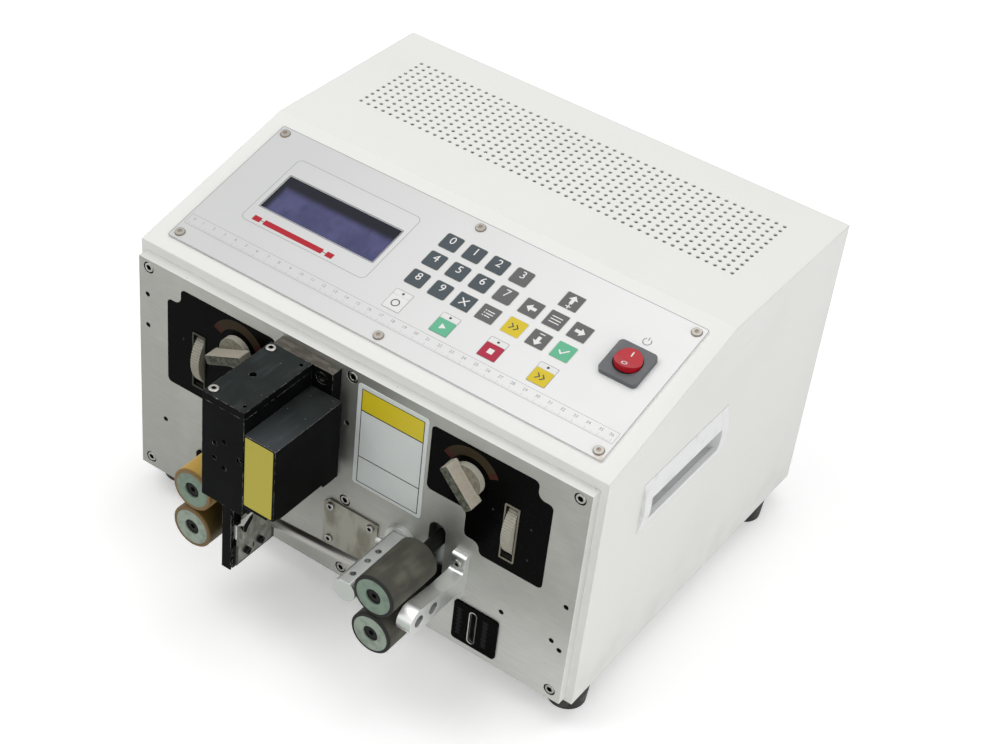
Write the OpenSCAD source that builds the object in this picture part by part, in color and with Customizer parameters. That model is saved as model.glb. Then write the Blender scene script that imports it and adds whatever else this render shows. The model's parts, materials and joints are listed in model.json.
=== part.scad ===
/* [Case] */
// Distance of the black windows' outer edges from the middle
window_outer_x = 166.7; // [162:0.1:175]
// Front plate left bare outside each black window
plate_margin = 26.8; // [22:0.1:40]
// Depth of the case from the front lip to the back
case_d = 316.9; // [300:0.1:360]
// Rise of the sloping panel from the front edge to the flat top
slope_rise = 39; // [33:0.1:60]
// Depth at which the sloping panel meets the flat top
slope_d = 151.5; // [148:0.1:165]
// Thickness of the case sheet
sheet_t = 1.5; // [1:0.1:2]
// Height of the rubber feet
foot_h = 22; // [15:0.5:30]
// Diameter of a foot where it meets the case
foot_top_d = 32; // [28:0.5:36]
// Diameter of a foot at the floor
foot_bottom_d = 28.5; // [24:0.5:30]
// Distance of the feet from the side walls
foot_side_gap = 17; // [16.5:0.5:40]
// Distance of the front feet from the front lip
foot_front_y = 24; // [20:1:40]
// Distance of the rear feet from the back
foot_rear_gap = 36.9; // [20:0.1:60]

/* [Top vents] */
// Number of vent holes across
vent_columns = 48; // [10:1:50]
// Number of vent holes front to back
vent_rows = 12; // [2:1:14]
// Spacing of the vent holes
vent_pitch = 6.98; // [5:0.01:7.2]
// Diameter of one vent hole
vent_d = 3; // [2:0.1:4]
// Distance of the middle of the vent field from the back
vent_back_gap = 73.8; // [70:0.1:80]

/* [Front plate] */
// Thickness of the aluminium front plate
plate_t = 8.9; // [7:0.1:12]
// Case front left bare at each side of the plate
plate_side_gap = 5.5; // [3:0.1:8]
// Case front left bare under the plate
plate_bottom_gap = 4.1; // [2:0.1:6]
// Case front left bare above the plate
plate_top_gap = 7.2; // [4:0.1:9]
// Front plate above the cutter head
head_top_gap = 4.2; // [2:0.1:12]
// Width of the slots that the roller shafts pass through
shaft_slot_w = 14; // [12:0.1:18]
// Depth of the pockets that hold the black window panels
pocket_depth = 1.2; // [0.8:0.1:2]

/* [Feed rollers] */
// Distance of the roller shafts from the middle of the machine
roller_x = 80; // [78:0.5:84]
// Height of the lower roller shafts above the case bottom
lower_roller_z = 54; // [52:0.5:56]
// Distance of the roller faces in front of the case lip
roller_front = 80; // [75:0.5:84]
// Length of a feed roller
roller_len = 50; // [40:0.5:54]
// Diameter of the rubber rollers on the right
right_tyre_d = 33; // [31:0.1:34]
// Diameter of the urethane rollers on the left
left_tyre_d = 34; // [31:0.1:34.4]
// Diameter of the metal roller hubs
hub_d = 28; // [22:0.1:29]
// Diameter of the roller shafts
shaft_d = 10; // [8:0.1:11]
// Teeth of each roller gear
gear_teeth = 20; // [20:1:20]
// Tooth size of the roller gears
gear_module = 1.75; // [1.7:0.01:1.8]
// Height that the knob lifts the upper roller
roller_lift = 8; // [4:0.5:9]

/* [Knobs and wheels] */
// Distance of the knobs from the middle of the machine
knob_x = 100.8; // [98:0.1:104]
// Height of the knobs above the case bottom
knob_z = 160.3; // [158:0.1:163]
// Diameter of the knob disc
knob_d = 25; // [20:0.5:30]
// Length of the knob grip
grip_len = 34; // [28:0.5:38]
// Width of the knob grip
grip_w = 7.2; // [5:0.1:10]
// How far the grip stands out of the disc
grip_h = 10.8; // [6:0.1:14]
// Turn of the right grip from level
right_grip_turn = -47; // [-60:1:0]
// Turn of the left grip from level
left_grip_turn = 24; // [0:1:60]
// Distance of the thumbwheels from the middle of the machine
wheel_x = 136.6; // [134:0.1:140]
// Height of the thumbwheel axles above the case bottom
wheel_z = 131.2; // [129:0.1:133]
// Diameter of the thumbwheels
wheel_d = 58; // [52:0.5:60]
// Width of the thumbwheels
wheel_w = 7.7; // [5:0.1:8]
// How far the thumbwheels stand out of the plate
wheel_proud = 5.3; // [3:0.1:6]

/* [Cutter head] */
// Left face of the cutter housing, left of the middle
housing_left = 63.2; // [61:0.1:66]
// Width of the cutter housing
housing_w = 36.2; // [35:0.1:40]
// Depth of the cutter housing front to back
housing_d = 70; // [66:0.5:76]
// Height of the cutter housing's underside
housing_z = 103; // [101:0.5:106]
// Height of the cutter housing with its top plate
housing_h = 90.7; // [88:0.1:94]
// Thickness of the mount block behind the housing
mount_t = 9.7; // [7:0.1:12]
// Wall of the cutter housing
housing_wall = 5; // [3.5:0.1:5.4]
// Thickness of the housing's top plate
lid_t = 6; // [4:0.1:8]
// Width of the safety cover beside the housing
guard_w = 26.6; // [22:0.1:30]
// Height of the safety cover's top
guard_top = 175; // [165:0.5:180]
// Height of the safety cover's lower edge
guard_bottom = 111; // [108:0.5:114]
// Thickness of the safety cover's sheet
guard_t = 1.2; // [0.8:0.1:2]
// Travel of each knife
knife_travel = 5; // [3:0.5:5]

/* [Wire guides] */
// Height of the wire path above the case bottom
wire_z = 72.8; // [72:0.1:74]
// Distance of the front wire path in front of the lip
front_wire_y = 64.7; // [64:0.1:66]
// Distance of the rear wire path in front of the lip
rear_wire_y = 48.6; // [48:0.1:50]
// Distance of the swing arm's axis from the middle
arm_x = 51.8; // [50:0.1:53]
// Diameter of the swing arm
arm_d = 18.5; // [16:0.1:20]
// Diameter of the wire tube
tube_d = 7.5; // [6:0.1:8]
// Tilt of the wire tube, left end down
tube_tilt = 4; // [0:0.5:6]
// Bore of the outlet bracket's wire guides
guide_bore_d = 9.2; // [6:0.1:11]
// Width of the outlet bracket
bracket_w = 11.5; // [9:0.1:14]
// Left face of the outlet bracket, right of the middle
bracket_x = 96.8; // [96.8:0.1:98]

/* [Control panel] */
// Distance of the control panel overlay from the side walls
overlay_side_gap = 14; // [8:0.5:20]
// Length of the overlay along the slope
overlay_len = 131.75; // [130:0.25:134]
// Distance of the overlay from the case's front edge
overlay_start = 12; // [10:0.5:14]
// Thickness of the overlay
overlay_t = 1.5; // [1:0.1:2]
// Diameter of the round power switch
switch_d = 20.5; // [18:0.1:22]
// Throw of the power switch rocker
switch_throw = 20; // [16:1:24]

/* [Rear] */
// Side of the cooling fan
fan_w = 80; // [70:1:90]
// Thickness of the cooling fan
fan_t = 25; // [20:1:30]

/* [Hidden] */
$fn = 48;

// Extra length by which cuts run past a face
over = 1;
// Running clearance of shafts in their bores, on the radius
run_gap = 0.05;
// Clearance round pieces that slide past others
slide_gap = 0.2;
// Clearance between turning and fixed faces
face_gap = 0.3;

// Derived places on the case
plate_w = 2 * (window_outer_x + plate_margin);
case_w = plate_w + 2 * plate_side_gap;
plate_top = housing_z + housing_h + head_top_gap;
front_h = plate_top + plate_top_gap;
case_h = front_h + slope_rise;
slope_a = atan(slope_rise / slope_d);
overlay_w = case_w - 2 * overlay_side_gap;
foot_x = case_w / 2 - foot_side_gap;
inner_w = case_w - 2 * sheet_t;
inlet_flange_t = 3;
housing_back = plate_t + mount_t;
housing_front = housing_back + housing_d;
middle_y = (case_d + inlet_flange_t - housing_front) / 2;

// Stands the machine on its feet with the origin under its middle
module on_floor() {
    translate([0, -middle_y, foot_h]) children();
}

// A flat outline in x and z, given depth from y0 towards the back
module facing_front(y0, depth) {
    translate([0, y0 + depth, 0]) rotate([90, 0, 0]) linear_extrude(depth) children();
}

// A flat outline in y and z, given width from x0 towards the right
module facing_side(x0, width) {
    translate([x0, 0, 0]) rotate([90, 0, 90]) linear_extrude(width) children();
}

// The sloping panel's own frame: y runs up the slope, z stands out of it
module on_slope() {
    translate([0, 0, front_h]) rotate([slope_a, 0, 0]) children();
}

// A shaft or bore along y from y0 towards the back
module along_y(x, y0, z, d, len) {
    translate([x, y0 + len, z]) rotate([90, 0, 0]) cylinder(d = d, h = len);
}

// A shaft or bore along x from x0 towards the right
module along_x(x0, y, z, d, len) {
    translate([x0, y, z]) rotate([0, 90, 0]) cylinder(d = d, h = len);
}

// A rectangle about its middle with round corners
module rounded(size, r) {
    for (sx = [-1, 1])
        for (sy = [-1, 1])
            translate([sx * (size[0] / 2 - r), sy * (size[1] / 2 - r)]) circle(r = r);
    square([size[0] - 2 * r, size[1]], center = true);
    square([size[0], size[1] - 2 * r], center = true);
}

// A rounded rectangle between two corners
module rounded_between(a, b, r) {
    translate((a + b) / 2) rounded([b[0] - a[0], b[1] - a[1]], r);
}

// A straight slot with round ends
module oblong(w, z0, z1) {
    translate([0, z0 + w / 2]) circle(d = w);
    translate([0, z1 - w / 2]) circle(d = w);
    translate([-w / 2, z0 + w / 2]) square([w, z1 - z0 - w]);
}

// A block between two corners
module block(a, b) {
    translate(a) cube(b - a);
}

// One shape on each side of the middle plane
module both_sides() {
    children();
    mirror([1, 0, 0]) children();
}

// Depth of a screw's key socket as a share of its head
key_depth_share = 0.7;

// A socket-head screw on the y axis, its head's face at the origin, pointing back
module socket_screw(head_d, head_h, shank_d, shank_len, key_share = 0.55) {
    rotate([-90, 0, 0]) difference() {
        union() {
            cylinder(d = head_d, h = head_h);
            translate([0, 0, head_h]) cylinder(d = shank_d, h = shank_len);
        }
        translate([0, 0, -over]) cylinder(d = head_d * key_share, $fn = 6,
            h = over + head_h * key_depth_share);
    }
}

// Case sheet
front_window_margin = 16;
front_window_bottom = 20;
front_window_top_gap = 23;
front_window_top = front_h - front_window_top_gap;
front_window_w = plate_w - 2 * front_window_margin;
handle_y0 = 52;
handle_y1 = 164;
handle_z0 = 125;
handle_z1 = 170;
handle_end = 9;
handle_bulge = 3.5;
handle_body_inset = 5;
lcd_in = 89;
lcd_x = lcd_in - overlay_w / 2;
lcd_s = 87.5;
lcd_size = [102, 35];
switch_in = 29.5;
switch_x = overlay_w / 2 - switch_in;
switch_s = 88;
switch_body_d = 19;

function slope_under(y, t) = front_h + y * tan(slope_a) - t / cos(slope_a);

module case_outline() {
    polygon([[0, 0], [0, front_h], [slope_d, case_h], [case_d, case_h], [case_d, 0]]);
}

module case_hollow() {
    inner_break = (case_h - sheet_t - slope_under(0, sheet_t)) / tan(slope_a);
    polygon([[sheet_t, -over], [sheet_t, slope_under(sheet_t, sheet_t)],
        [inner_break, case_h - sheet_t], [case_d + over, case_h - sheet_t], [case_d + over, -over]]);
}

module case_cover() color("whitesmoke") on_floor() {
    difference() {
        facing_side(-case_w / 2, case_w) case_outline();
        facing_side(-inner_w / 2, inner_w) case_hollow();
        block([-front_window_w / 2, -over, front_window_bottom],
            [front_window_w / 2, sheet_t + over, front_window_top]);
        for (i = [0:vent_columns - 1])
            for (j = [0:vent_rows - 1])
                translate([(i - (vent_columns - 1) / 2) * vent_pitch,
                    case_d - vent_back_gap + (j - (vent_rows - 1) / 2) * vent_pitch,
                    case_h - sheet_t - over])
                    cylinder(d = vent_d, h = sheet_t + 2 * over, $fn = 24);
        both_sides() facing_side(inner_w / 2 - over, sheet_t + 2 * over)
            rounded_between([handle_y0 + handle_body_inset, handle_z0 + handle_body_inset],
                [handle_y1 - handle_body_inset, handle_z1 - handle_body_inset], handle_body_inset / 2);
        on_slope() {
            translate([lcd_x, lcd_s, -sheet_t - over]) linear_extrude(sheet_t + 2 * over)
                square(lcd_size, center = true);
            translate([switch_x, switch_s, -sheet_t - over])
                cylinder(d = switch_body_d + 2 * slide_gap, h = sheet_t + 2 * over);
        }
        plate_screw_places() along_y(0, -over, 0, plate_shank_d, sheet_t + 2 * over);
    }
}

// Rear panel with a fan grille and the mains inlet
fan_in = 89;
fan_x = fan_in - case_w / 2;
fan_z = 150;
grille_hole_d = 5;
grille_rings = 4;
inlet_in = 79;
inlet_x = case_w / 2 - inlet_in;
inlet_z = 60;
inlet_size = [31, 46];
inlet_body = [27, 40];
rear_y = case_d - sheet_t;

module rear_panel() color("whitesmoke") on_floor() {
    difference() {
        block([-inner_w / 2, rear_y, sheet_t], [inner_w / 2, case_d, case_h - sheet_t]);
        for (k = [0:grille_rings])
            for (i = [0:max(1, 6 * k) - 1])
                rotate_about(fan_x, fan_z, i * 360 / max(1, 6 * k))
                    along_y(fan_x + k * fan_w / (2 * grille_rings + 2), rear_y - over, fan_z,
                        grille_hole_d, sheet_t + 2 * over);
        block([inlet_x - inlet_body[0] / 2, rear_y - over, inlet_z - inlet_body[1] / 2],
            [inlet_x + inlet_body[0] / 2, case_d + over, inlet_z + inlet_body[1] / 2]);
    }
}

// Turns about an axis along y through (x, z)
module rotate_about(x, z, a) {
    translate([x, 0, z]) rotate([0, a, 0]) translate([-x, 0, -z]) children();
}

// Floor pan with upturned edges
pan_edge_h = 14;
foot_screw_d = 5;

module foot_places() {
    for (sx = [-1, 1])
        for (y = [foot_front_y, case_d - foot_rear_gap])
            translate([sx * foot_x, y, 0]) children();
}

module base_pan() color("gainsboro") on_floor() {
    difference() {
        union() {
            block([-inner_w / 2, sheet_t, 0], [inner_w / 2, case_d, sheet_t]);
            both_sides() block([inner_w / 2 - sheet_t, sheet_t, 0], [inner_w / 2, rear_y, pan_edge_h]);
            block([-inner_w / 2, sheet_t, 0], [inner_w / 2, 2 * sheet_t, pan_edge_h]);
            block([-inner_w / 2, rear_y - sheet_t, 0], [inner_w / 2, rear_y, pan_edge_h]);
        }
        foot_places() translate([0, 0, -over]) cylinder(d = foot_screw_d, h = sheet_t + 2 * over);
    }
}

// Rubber feet, hollow round their screws
foot_well_d = 16;
foot_well_share = 0.65;

module feet() color("dimgray") on_floor() {
    foot_places() translate([0, 0, -foot_h]) rotate_extrude()
        polygon([[foot_screw_d / 2, foot_h], [foot_top_d / 2, foot_h], [foot_bottom_d / 2, 0],
            [foot_well_d / 2, 0], [foot_well_d / 2, foot_h * foot_well_share],
            [foot_screw_d / 2, foot_h * foot_well_share]]);
}

// Pocket handles in the side walls
handle_grip_h = 15.5;
handle_lip_h = 10;
pocket_r = 16;
pocket_wall = 2.5;
pocket_in = 13;

module handle_face() {
    chord = (handle_z1 - handle_z0) / 2;
    bow_r = (chord * chord + handle_bulge * handle_bulge) / (2 * handle_bulge);
    intersection() {
        translate([case_w / 2, handle_z0]) square([2 * handle_bulge, 2 * chord]);
        translate([case_w / 2 + handle_bulge - bow_r, handle_z0 + chord]) circle(r = bow_r, $fn = 180);
    }
}

module side_handle() {
    pocket_z = (handle_z0 + handle_z1) / 2 - pocket_wall / 2;
    pocket_x = case_w / 2 - pocket_in;
    body0 = handle_y0 + handle_body_inset + slide_gap;
    body1 = handle_y1 - handle_body_inset - slide_gap;
    difference() {
        union() {
            facing_front(handle_y0, handle_y1 - handle_y0) handle_face();
            intersection() {
                along_y(pocket_x, body0, pocket_z, 2 * (pocket_r + pocket_wall), body1 - body0);
                block([0, body0, handle_z0 + handle_body_inset + slide_gap],
                    [case_w / 2 + handle_bulge / 4, body1, handle_z1 - handle_body_inset - slide_gap]);
            }
        }
        along_y(pocket_x, handle_y0 + handle_end, pocket_z, 2 * pocket_r,
            handle_y1 - handle_y0 - 2 * handle_end);
        block([pocket_x, handle_y0 + handle_end, handle_z0 + handle_lip_h],
            [case_w / 2 + handle_bulge + over, handle_y1 - handle_end, handle_z1 - handle_grip_h]);
    }
}

module handle_left() color("lightgray") on_floor() {
    mirror([1, 0, 0]) side_handle();
}

module handle_right() color("lightgray") on_floor() {
    side_handle();
}

// Front plate and what is cut in it
plate_screw_in = 9;
plate_screw_x = plate_w / 2 - plate_screw_in;
plate_screw_top_gap = 6.9;
plate_screw_bottom_gap = 8.4;
plate_screw_mid_z = 78.7;
plate_head_d = 8.5;
plate_head_h = 5;
plate_bore_d = 9.5;
plate_shank_d = 5;
shaft_slot_bottom = 45;
shaft_slot_top = 105.6;
index_x0 = 100.75;
index_x1 = 138.25;
index_z0 = 10.5;
index_z1 = 47.5;
index_r = 3;
index_t = 1.2;
index_slot_x = 117.5;
index_slot_w = 5;
index_slot_margin = 4;
wheel_slot_w = 9.4;
wheel_slot_h = 46.4;
wheel_relief_h = 56;
wheel_relief_depth = 4;
accessory_d = 4.2;
accessory_depth = 7;
// Distance from the plate's left or right edge and height of each accessory hole
accessory_left = [[7.75, 167], [7.75, 139.25], [24, 58.75]];
accessory_right = [[6.5, 94.75], [55.25, 58], [13.5, 58.25], [6.5, 53.25]];
accessory_middle = [-2.5, 149.25];
accessory_places = concat([for (p = accessory_left) [p[0] - plate_w / 2, p[1]]],
    [for (p = accessory_right) [plate_w / 2 - p[0], p[1]]], [accessory_middle]);
drive_hole_d = 12;
pivot_d = 8;

module plate_screw_places() {
    for (x = [-plate_screw_x, 0, plate_screw_x])
        for (z = [plate_bottom_gap + plate_screw_bottom_gap, plate_top - plate_screw_top_gap])
            translate([x, 0, z]) children();
}

module all_plate_screw_places() {
    plate_screw_places() children();
    translate([0, 0, plate_screw_mid_z]) children();
}

module front_plate() color("silver") on_floor() {
    difference() {
        block([-plate_w / 2, -plate_t, plate_bottom_gap], [plate_w / 2, 0, plate_top]);
        all_plate_screw_places() {
            along_y(0, -plate_t - over, 0, plate_bore_d, plate_head_h + over);
            along_y(0, -plate_t - over, 0, plate_shank_d, plate_t + 2 * over);
        }
        both_sides() {
            facing_front(-plate_t - over, plate_t + 2 * over) translate([roller_x, 0])
                oblong(shaft_slot_w, shaft_slot_bottom, shaft_slot_top);
            facing_front(-plate_t - over, plate_t + 2 * over) translate([index_slot_x, 0])
                oblong(index_slot_w, index_z0 + index_slot_margin, index_z1 - index_slot_margin);
            facing_front(-plate_t - over, pocket_depth + over) window_shape();
            along_y(knob_x, -plate_t - over, knob_z, cam_shaft_d + 2 * run_gap, plate_t + 2 * over);
            block([wheel_x - wheel_slot_w / 2, -plate_t - over, wheel_z - wheel_slot_h / 2],
                [wheel_x + wheel_slot_w / 2, over, wheel_z + wheel_slot_h / 2]);
            block([wheel_x - wheel_slot_w / 2, -wheel_relief_depth, wheel_z - wheel_relief_h / 2],
                [wheel_x + wheel_slot_w / 2, over, wheel_z + wheel_relief_h / 2]);
        }
        for (p = accessory_places)
            along_y(p[0], -plate_t - over, p[1], accessory_d, accessory_depth + over);
        along_y(screw_x, -plate_t - over, drive_z, drive_hole_d, plate_t + 2 * over);
        along_y(arm_x, -plate_t - over, wire_z, pivot_d + 2 * run_gap, plate_t + 2 * over);
    }
}

// Black window panels let into the plate
window_inner_x = 67.5;
window_step_x = 154;
window_top = 187.4;
window_step_z = 173.5;
window_knob_bottom = 131.5;
window_left_x = 101;
window_mid_z = 108;
window_foot_x = 114.3;
window_bottom = 98.3;
window_r = 4;
window_cove_r = 6;

module window_shape() {
    rounded_between([window_inner_x, window_knob_bottom], [window_step_x, window_top], window_r);
    rounded_between([window_left_x, window_mid_z], [window_outer_x, window_step_z], window_r);
    rounded_between([window_foot_x, window_bottom], [window_outer_x, window_step_z], window_r);
    translate([window_step_x, window_step_z]) difference() {
        square(window_cove_r);
        translate([window_cove_r, window_cove_r]) circle(r = window_cove_r);
    }
    translate([window_left_x - window_cove_r, window_knob_bottom - window_cove_r]) difference() {
        square(window_cove_r);
        circle(r = window_cove_r);
    }
    translate([window_foot_x - window_cove_r, window_mid_z - window_cove_r]) difference() {
        square(window_cove_r);
        circle(r = window_cove_r);
    }
}

module window_panels() color("black") on_floor() {
    both_sides() difference() {
        facing_front(-plate_t, pocket_depth) window_shape();
        along_y(knob_x, -plate_t - over, knob_z, cam_shaft_d + 2 * slide_gap, pocket_depth + 2 * over);
        block([wheel_x - wheel_slot_w / 2, -plate_t - over, wheel_z - wheel_slot_h / 2],
            [wheel_x + wheel_slot_w / 2, over, wheel_z + wheel_slot_h / 2]);
    }
}

// Black index plates over the adjusting slots
module index_plates() color("black") on_floor() {
    both_sides() facing_front(-plate_t - index_t, index_t) difference() {
        rounded_between([index_x0, index_z0], [index_x1, index_z1], index_r);
        translate([index_slot_x, 0])
            oblong(index_slot_w, index_z0 + index_slot_margin, index_z1 - index_slot_margin);
    }
}

// Steel access plate with clipped corner
access_x0 = -16.8;
access_x1 = 31;
access_z0 = 30.7;
access_z1 = 73.6;
access_t = 1.5;
access_clip = 9;
access_screw_in = 6;
access_head_d = 6.5;
access_head_h = 1.6;
access_shank_d = 3;

module access_screw_places() {
    for (x = [access_x0 + access_screw_in, access_x1 - access_screw_in])
        for (z = [access_z0 + access_screw_in, access_z1 - access_screw_in])
            translate([x, 0, z]) children();
}

module access_plate() color("silver") on_floor() {
    difference() {
        facing_front(-plate_t - access_t, access_t)
            polygon([[access_x0, access_z0], [access_x1, access_z0], [access_x1, access_z1],
                [access_x0 + access_clip / 2, access_z1], [access_x0, access_z1 - access_clip / 2]]);
        access_screw_places() along_y(0, -plate_t - access_t - over, 0, access_shank_d,
            access_t + 2 * over);
    }
}

// Feed rollers: tyre, hub and shaft of each
tyre_chamfer = 0.8;
hub_well_d = 12.5;
hub_well_depth = 5;
collar_d = 14;
collar_len = 5;
gear_t = 12;
gear_y = 21.5;
addendum_share = 0.85;
dedendum_share = 1.2;
root_half_share = 0.3;
tip_half_share = 0.12;
axis_pitch = gear_teeth * gear_module;
upper_roller_z = lower_roller_z + axis_pitch;
block_depth = 20;
shaft_tail = 3;
shaft_tip_in = 1.2;
shaft_head_t = 3.5;
shaft_head_gap = 0.25;
pin_bore_d = 4;
pin_bore_depth = 2;

module tyre(x, z, d) {
    translate([x, -roller_front, z]) rotate([-90, 0, 0]) rotate_extrude()
        polygon([[hub_d / 2, 0], [d / 2 - tyre_chamfer, 0], [d / 2, tyre_chamfer],
            [d / 2, roller_len - tyre_chamfer], [d / 2 - tyre_chamfer, roller_len],
            [hub_d / 2, roller_len]]);
}

module hub(x, z) {
    translate([x, -roller_front, z]) rotate([-90, 0, 0]) rotate_extrude()
        polygon([[hub_well_d / 2, 0], [hub_d / 2, 0], [hub_d / 2, roller_len],
            [shaft_d / 2, roller_len], [shaft_d / 2, hub_well_depth], [hub_well_d / 2, hub_well_depth]]);
}

module spur_gear(turn) {
    pitch_r = gear_teeth * gear_module / 2;
    root_r = pitch_r - dedendum_share * gear_module;
    tip_r = pitch_r + addendum_share * gear_module;
    corners = [[root_r, -root_half_share], [tip_r, -tip_half_share],
        [tip_r, tip_half_share], [root_r, root_half_share]];
    difference() {
        polygon([for (i = [0:gear_teeth - 1]) for (c = corners)
            c[0] * [cos(turn + (i + c[1]) * 360 / gear_teeth), sin(turn + (i + c[1]) * 360 / gear_teeth)]]);
        circle(d = shaft_d);
    }
}

module roller_shaft(x, z, turn) {
    tip = -roller_front + shaft_tip_in;
    tail = gear_y + gear_t + shaft_tail;
    difference() {
        union() {
            along_y(x, tip, z, shaft_d, tail - tip);
            along_y(x, tip, z, hub_well_d - 2 * shaft_head_gap, shaft_head_t);
            along_y(x, -roller_front + roller_len, z, collar_d, collar_len);
            facing_front(gear_y, gear_t) translate([x, z]) union() {
                spur_gear(turn);
                circle(d = shaft_d);
            }
        }
        along_y(x, tip - over, z, pin_bore_d, over + pin_bore_depth);
    }
}

module tyre_upper_left() color("goldenrod") on_floor() tyre(-roller_x, upper_roller_z, left_tyre_d);
module tyre_lower_left() color("peru") on_floor() tyre(-roller_x, lower_roller_z, left_tyre_d);
module tyre_upper_right() color("dimgray") on_floor() tyre(roller_x, upper_roller_z, right_tyre_d);
module tyre_lower_right() color("dimgray") on_floor() tyre(roller_x, lower_roller_z, right_tyre_d);
module hub_upper_left() color("darkseagreen") on_floor() hub(-roller_x, upper_roller_z);
module hub_lower_left() color("darkseagreen") on_floor() hub(-roller_x, lower_roller_z);
module hub_upper_right() color("darkseagreen") on_floor() hub(roller_x, upper_roller_z);
module hub_lower_right() color("darkseagreen") on_floor() hub(roller_x, lower_roller_z);
module shaft_upper_left() color("gray") on_floor()
    roller_shaft(-roller_x, upper_roller_z, 270 + 180 / gear_teeth);
module shaft_lower_left() color("gray") on_floor() roller_shaft(-roller_x, lower_roller_z, 90);
module shaft_upper_right() color("gray") on_floor()
    roller_shaft(roller_x, upper_roller_z, 270 + 180 / gear_teeth);
module shaft_lower_right() color("gray") on_floor() roller_shaft(roller_x, lower_roller_z, 90);

// Bearing blocks behind the plate, with a gear gap and the motor's plate
block_half_w = 27.5;
block_bottom = 25.5;
block_top = 128;
channel_half_w = 12;
carrier_h = 24;
motor_w = 57;
motor_len = 60;
motor_plate_t = 5;
motor_bolt = 23.6;
pillar_d = 6;
motor_edge = 6;

module bearing_block() {
    plate_y = gear_y + gear_t + face_gap;
    difference() {
        union() {
            block([roller_x - block_half_w, 0, block_bottom],
                [roller_x + block_half_w, block_depth, block_top]);
            block([roller_x - motor_w / 2, plate_y, lower_roller_z - motor_w / 2],
                [roller_x + motor_w / 2, plate_y + motor_plate_t, lower_roller_z + motor_w / 2]);
            for (sx = [-1, 1])
                for (sz = [-1, 1])
                    along_y(roller_x + sx * motor_bolt, block_depth - over,
                        lower_roller_z + sz * motor_bolt, pillar_d, plate_y - block_depth + 2 * over);
        }
        block([roller_x - channel_half_w, -over, upper_roller_z - carrier_h / 2 - slide_gap],
            [roller_x + channel_half_w, block_depth + over, block_top + over]);
        along_y(roller_x, -over, lower_roller_z, shaft_d + 2 * run_gap, block_depth + 2 * over);
        along_y(roller_x, plate_y - over, lower_roller_z, shaft_d + 2 * slide_gap,
            motor_plate_t + 2 * over);
    }
}

module bearing_blocks() color("darkgray") on_floor() both_sides() bearing_block();

module feed_motors() color("dimgray") on_floor() both_sides() {
    face = gear_y + gear_t + face_gap + motor_plate_t;
    difference() {
        block([roller_x - motor_w / 2, face, lower_roller_z - motor_w / 2],
            [roller_x + motor_w / 2, face + motor_len, lower_roller_z + motor_w / 2]);
        for (sx = [-1, 1])
            for (sz = [-1, 1])
                translate([roller_x + sx * motor_w / 2, face - over, lower_roller_z + sz * motor_w / 2])
                    rotate([0, 45, 0]) translate([-motor_edge / 2, 0, -motor_edge / 2])
                        cube([motor_edge, motor_len + 2 * over, motor_edge]);
    }
}

// Carriers that slide up and down with the upper rollers
lift_x0 = 84;
lift_w = 6;
lift_t = 5;
lift_y = 12;
foot_t = 5.5;
cam_base_r = 8;
cam_gap = 0.4;
cam_shaft_d = 8;

module carrier() {
    foot_z = knob_z + cam_base_r + cam_gap;
    difference() {
        union() {
            block([roller_x - channel_half_w + run_gap * 2, face_gap, upper_roller_z - carrier_h / 2],
                [roller_x + channel_half_w - run_gap * 2, block_depth - face_gap,
                    upper_roller_z + carrier_h / 2]);
            block([lift_x0, lift_y, upper_roller_z], [lift_x0 + lift_w, lift_y + lift_t, foot_z + foot_t]);
            block([lift_x0, lift_y, foot_z], [knob_x, lift_y + lift_t, foot_z + foot_t]);
        }
        along_y(roller_x, -over, upper_roller_z, shaft_d + 2 * run_gap, block_depth + 2 * over);
    }
}

module carrier_left() color("darkgray") on_floor() mirror([1, 0, 0]) carrier();
module carrier_right() color("darkgray") on_floor() carrier();

// Spiral cam that lifts the carrier evenly as the knob turns a quarter
cam_t = 4.6;
cam_drop_a = 50;
cam_step_a = 5;

function cam_r(a) = a <= 90 ? cam_base_r + roller_lift * max(a, 0) / 90
    : a <= 90 + cam_drop_a ? cam_base_r + roller_lift * (90 + cam_drop_a - a) / cam_drop_a
    : cam_base_r;

module cam() {
    facing_front(lift_y + (lift_t - cam_t) / 2, cam_t) translate([knob_x, knob_z])
        polygon([for (a = [0:cam_step_a:360 - cam_step_a]) cam_r(a) * [sin(a), cos(a)]]);
    along_y(knob_x, -plate_t - knob_disc_t + over, knob_z, cam_shaft_d,
        plate_t + knob_disc_t - over + lift_y + lift_t);
}

module cam_left() color("silver") on_floor() mirror([1, 0, 0]) cam();
module cam_right() color("silver") on_floor() cam();

// Pointer knobs: disc with a bar grip longer than the disc
knob_disc_t = 5;
grip_round_share = 0.3;

module knob(x, turn) {
    back = -plate_t - face_gap;
    front = back - knob_disc_t;
    difference() {
        union() {
            translate([x, back, knob_z]) rotate([90, 0, 0])
                cylinder(d = knob_d, h = knob_disc_t);
            rotate_about(x, knob_z, -turn)
                facing_front(front - grip_h, grip_h + over) translate([x, knob_z])
                    rounded([grip_len, grip_w], grip_w * grip_round_share / 2);
        }
        along_y(x, -plate_t - knob_disc_t + over, knob_z, cam_shaft_d, knob_disc_t);
    }
}

module knob_left() color("tan") on_floor() knob(-knob_x, left_grip_turn);
module knob_right() color("tan") on_floor() knob(knob_x, right_grip_turn);

// Thumbwheels on short axles
wheel_axle_d = 6;
wheel_y = wheel_d / 2 - wheel_proud - plate_t;
wheel_ribs = 84;
wheel_rib_d = 1.4;
wheel_rim = 6;
wheel_web_share = 0.5;
wheel_boss_d = 14;
cheek_t = 3;
cheek_h = 20;
cheek_gap = 2;

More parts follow.
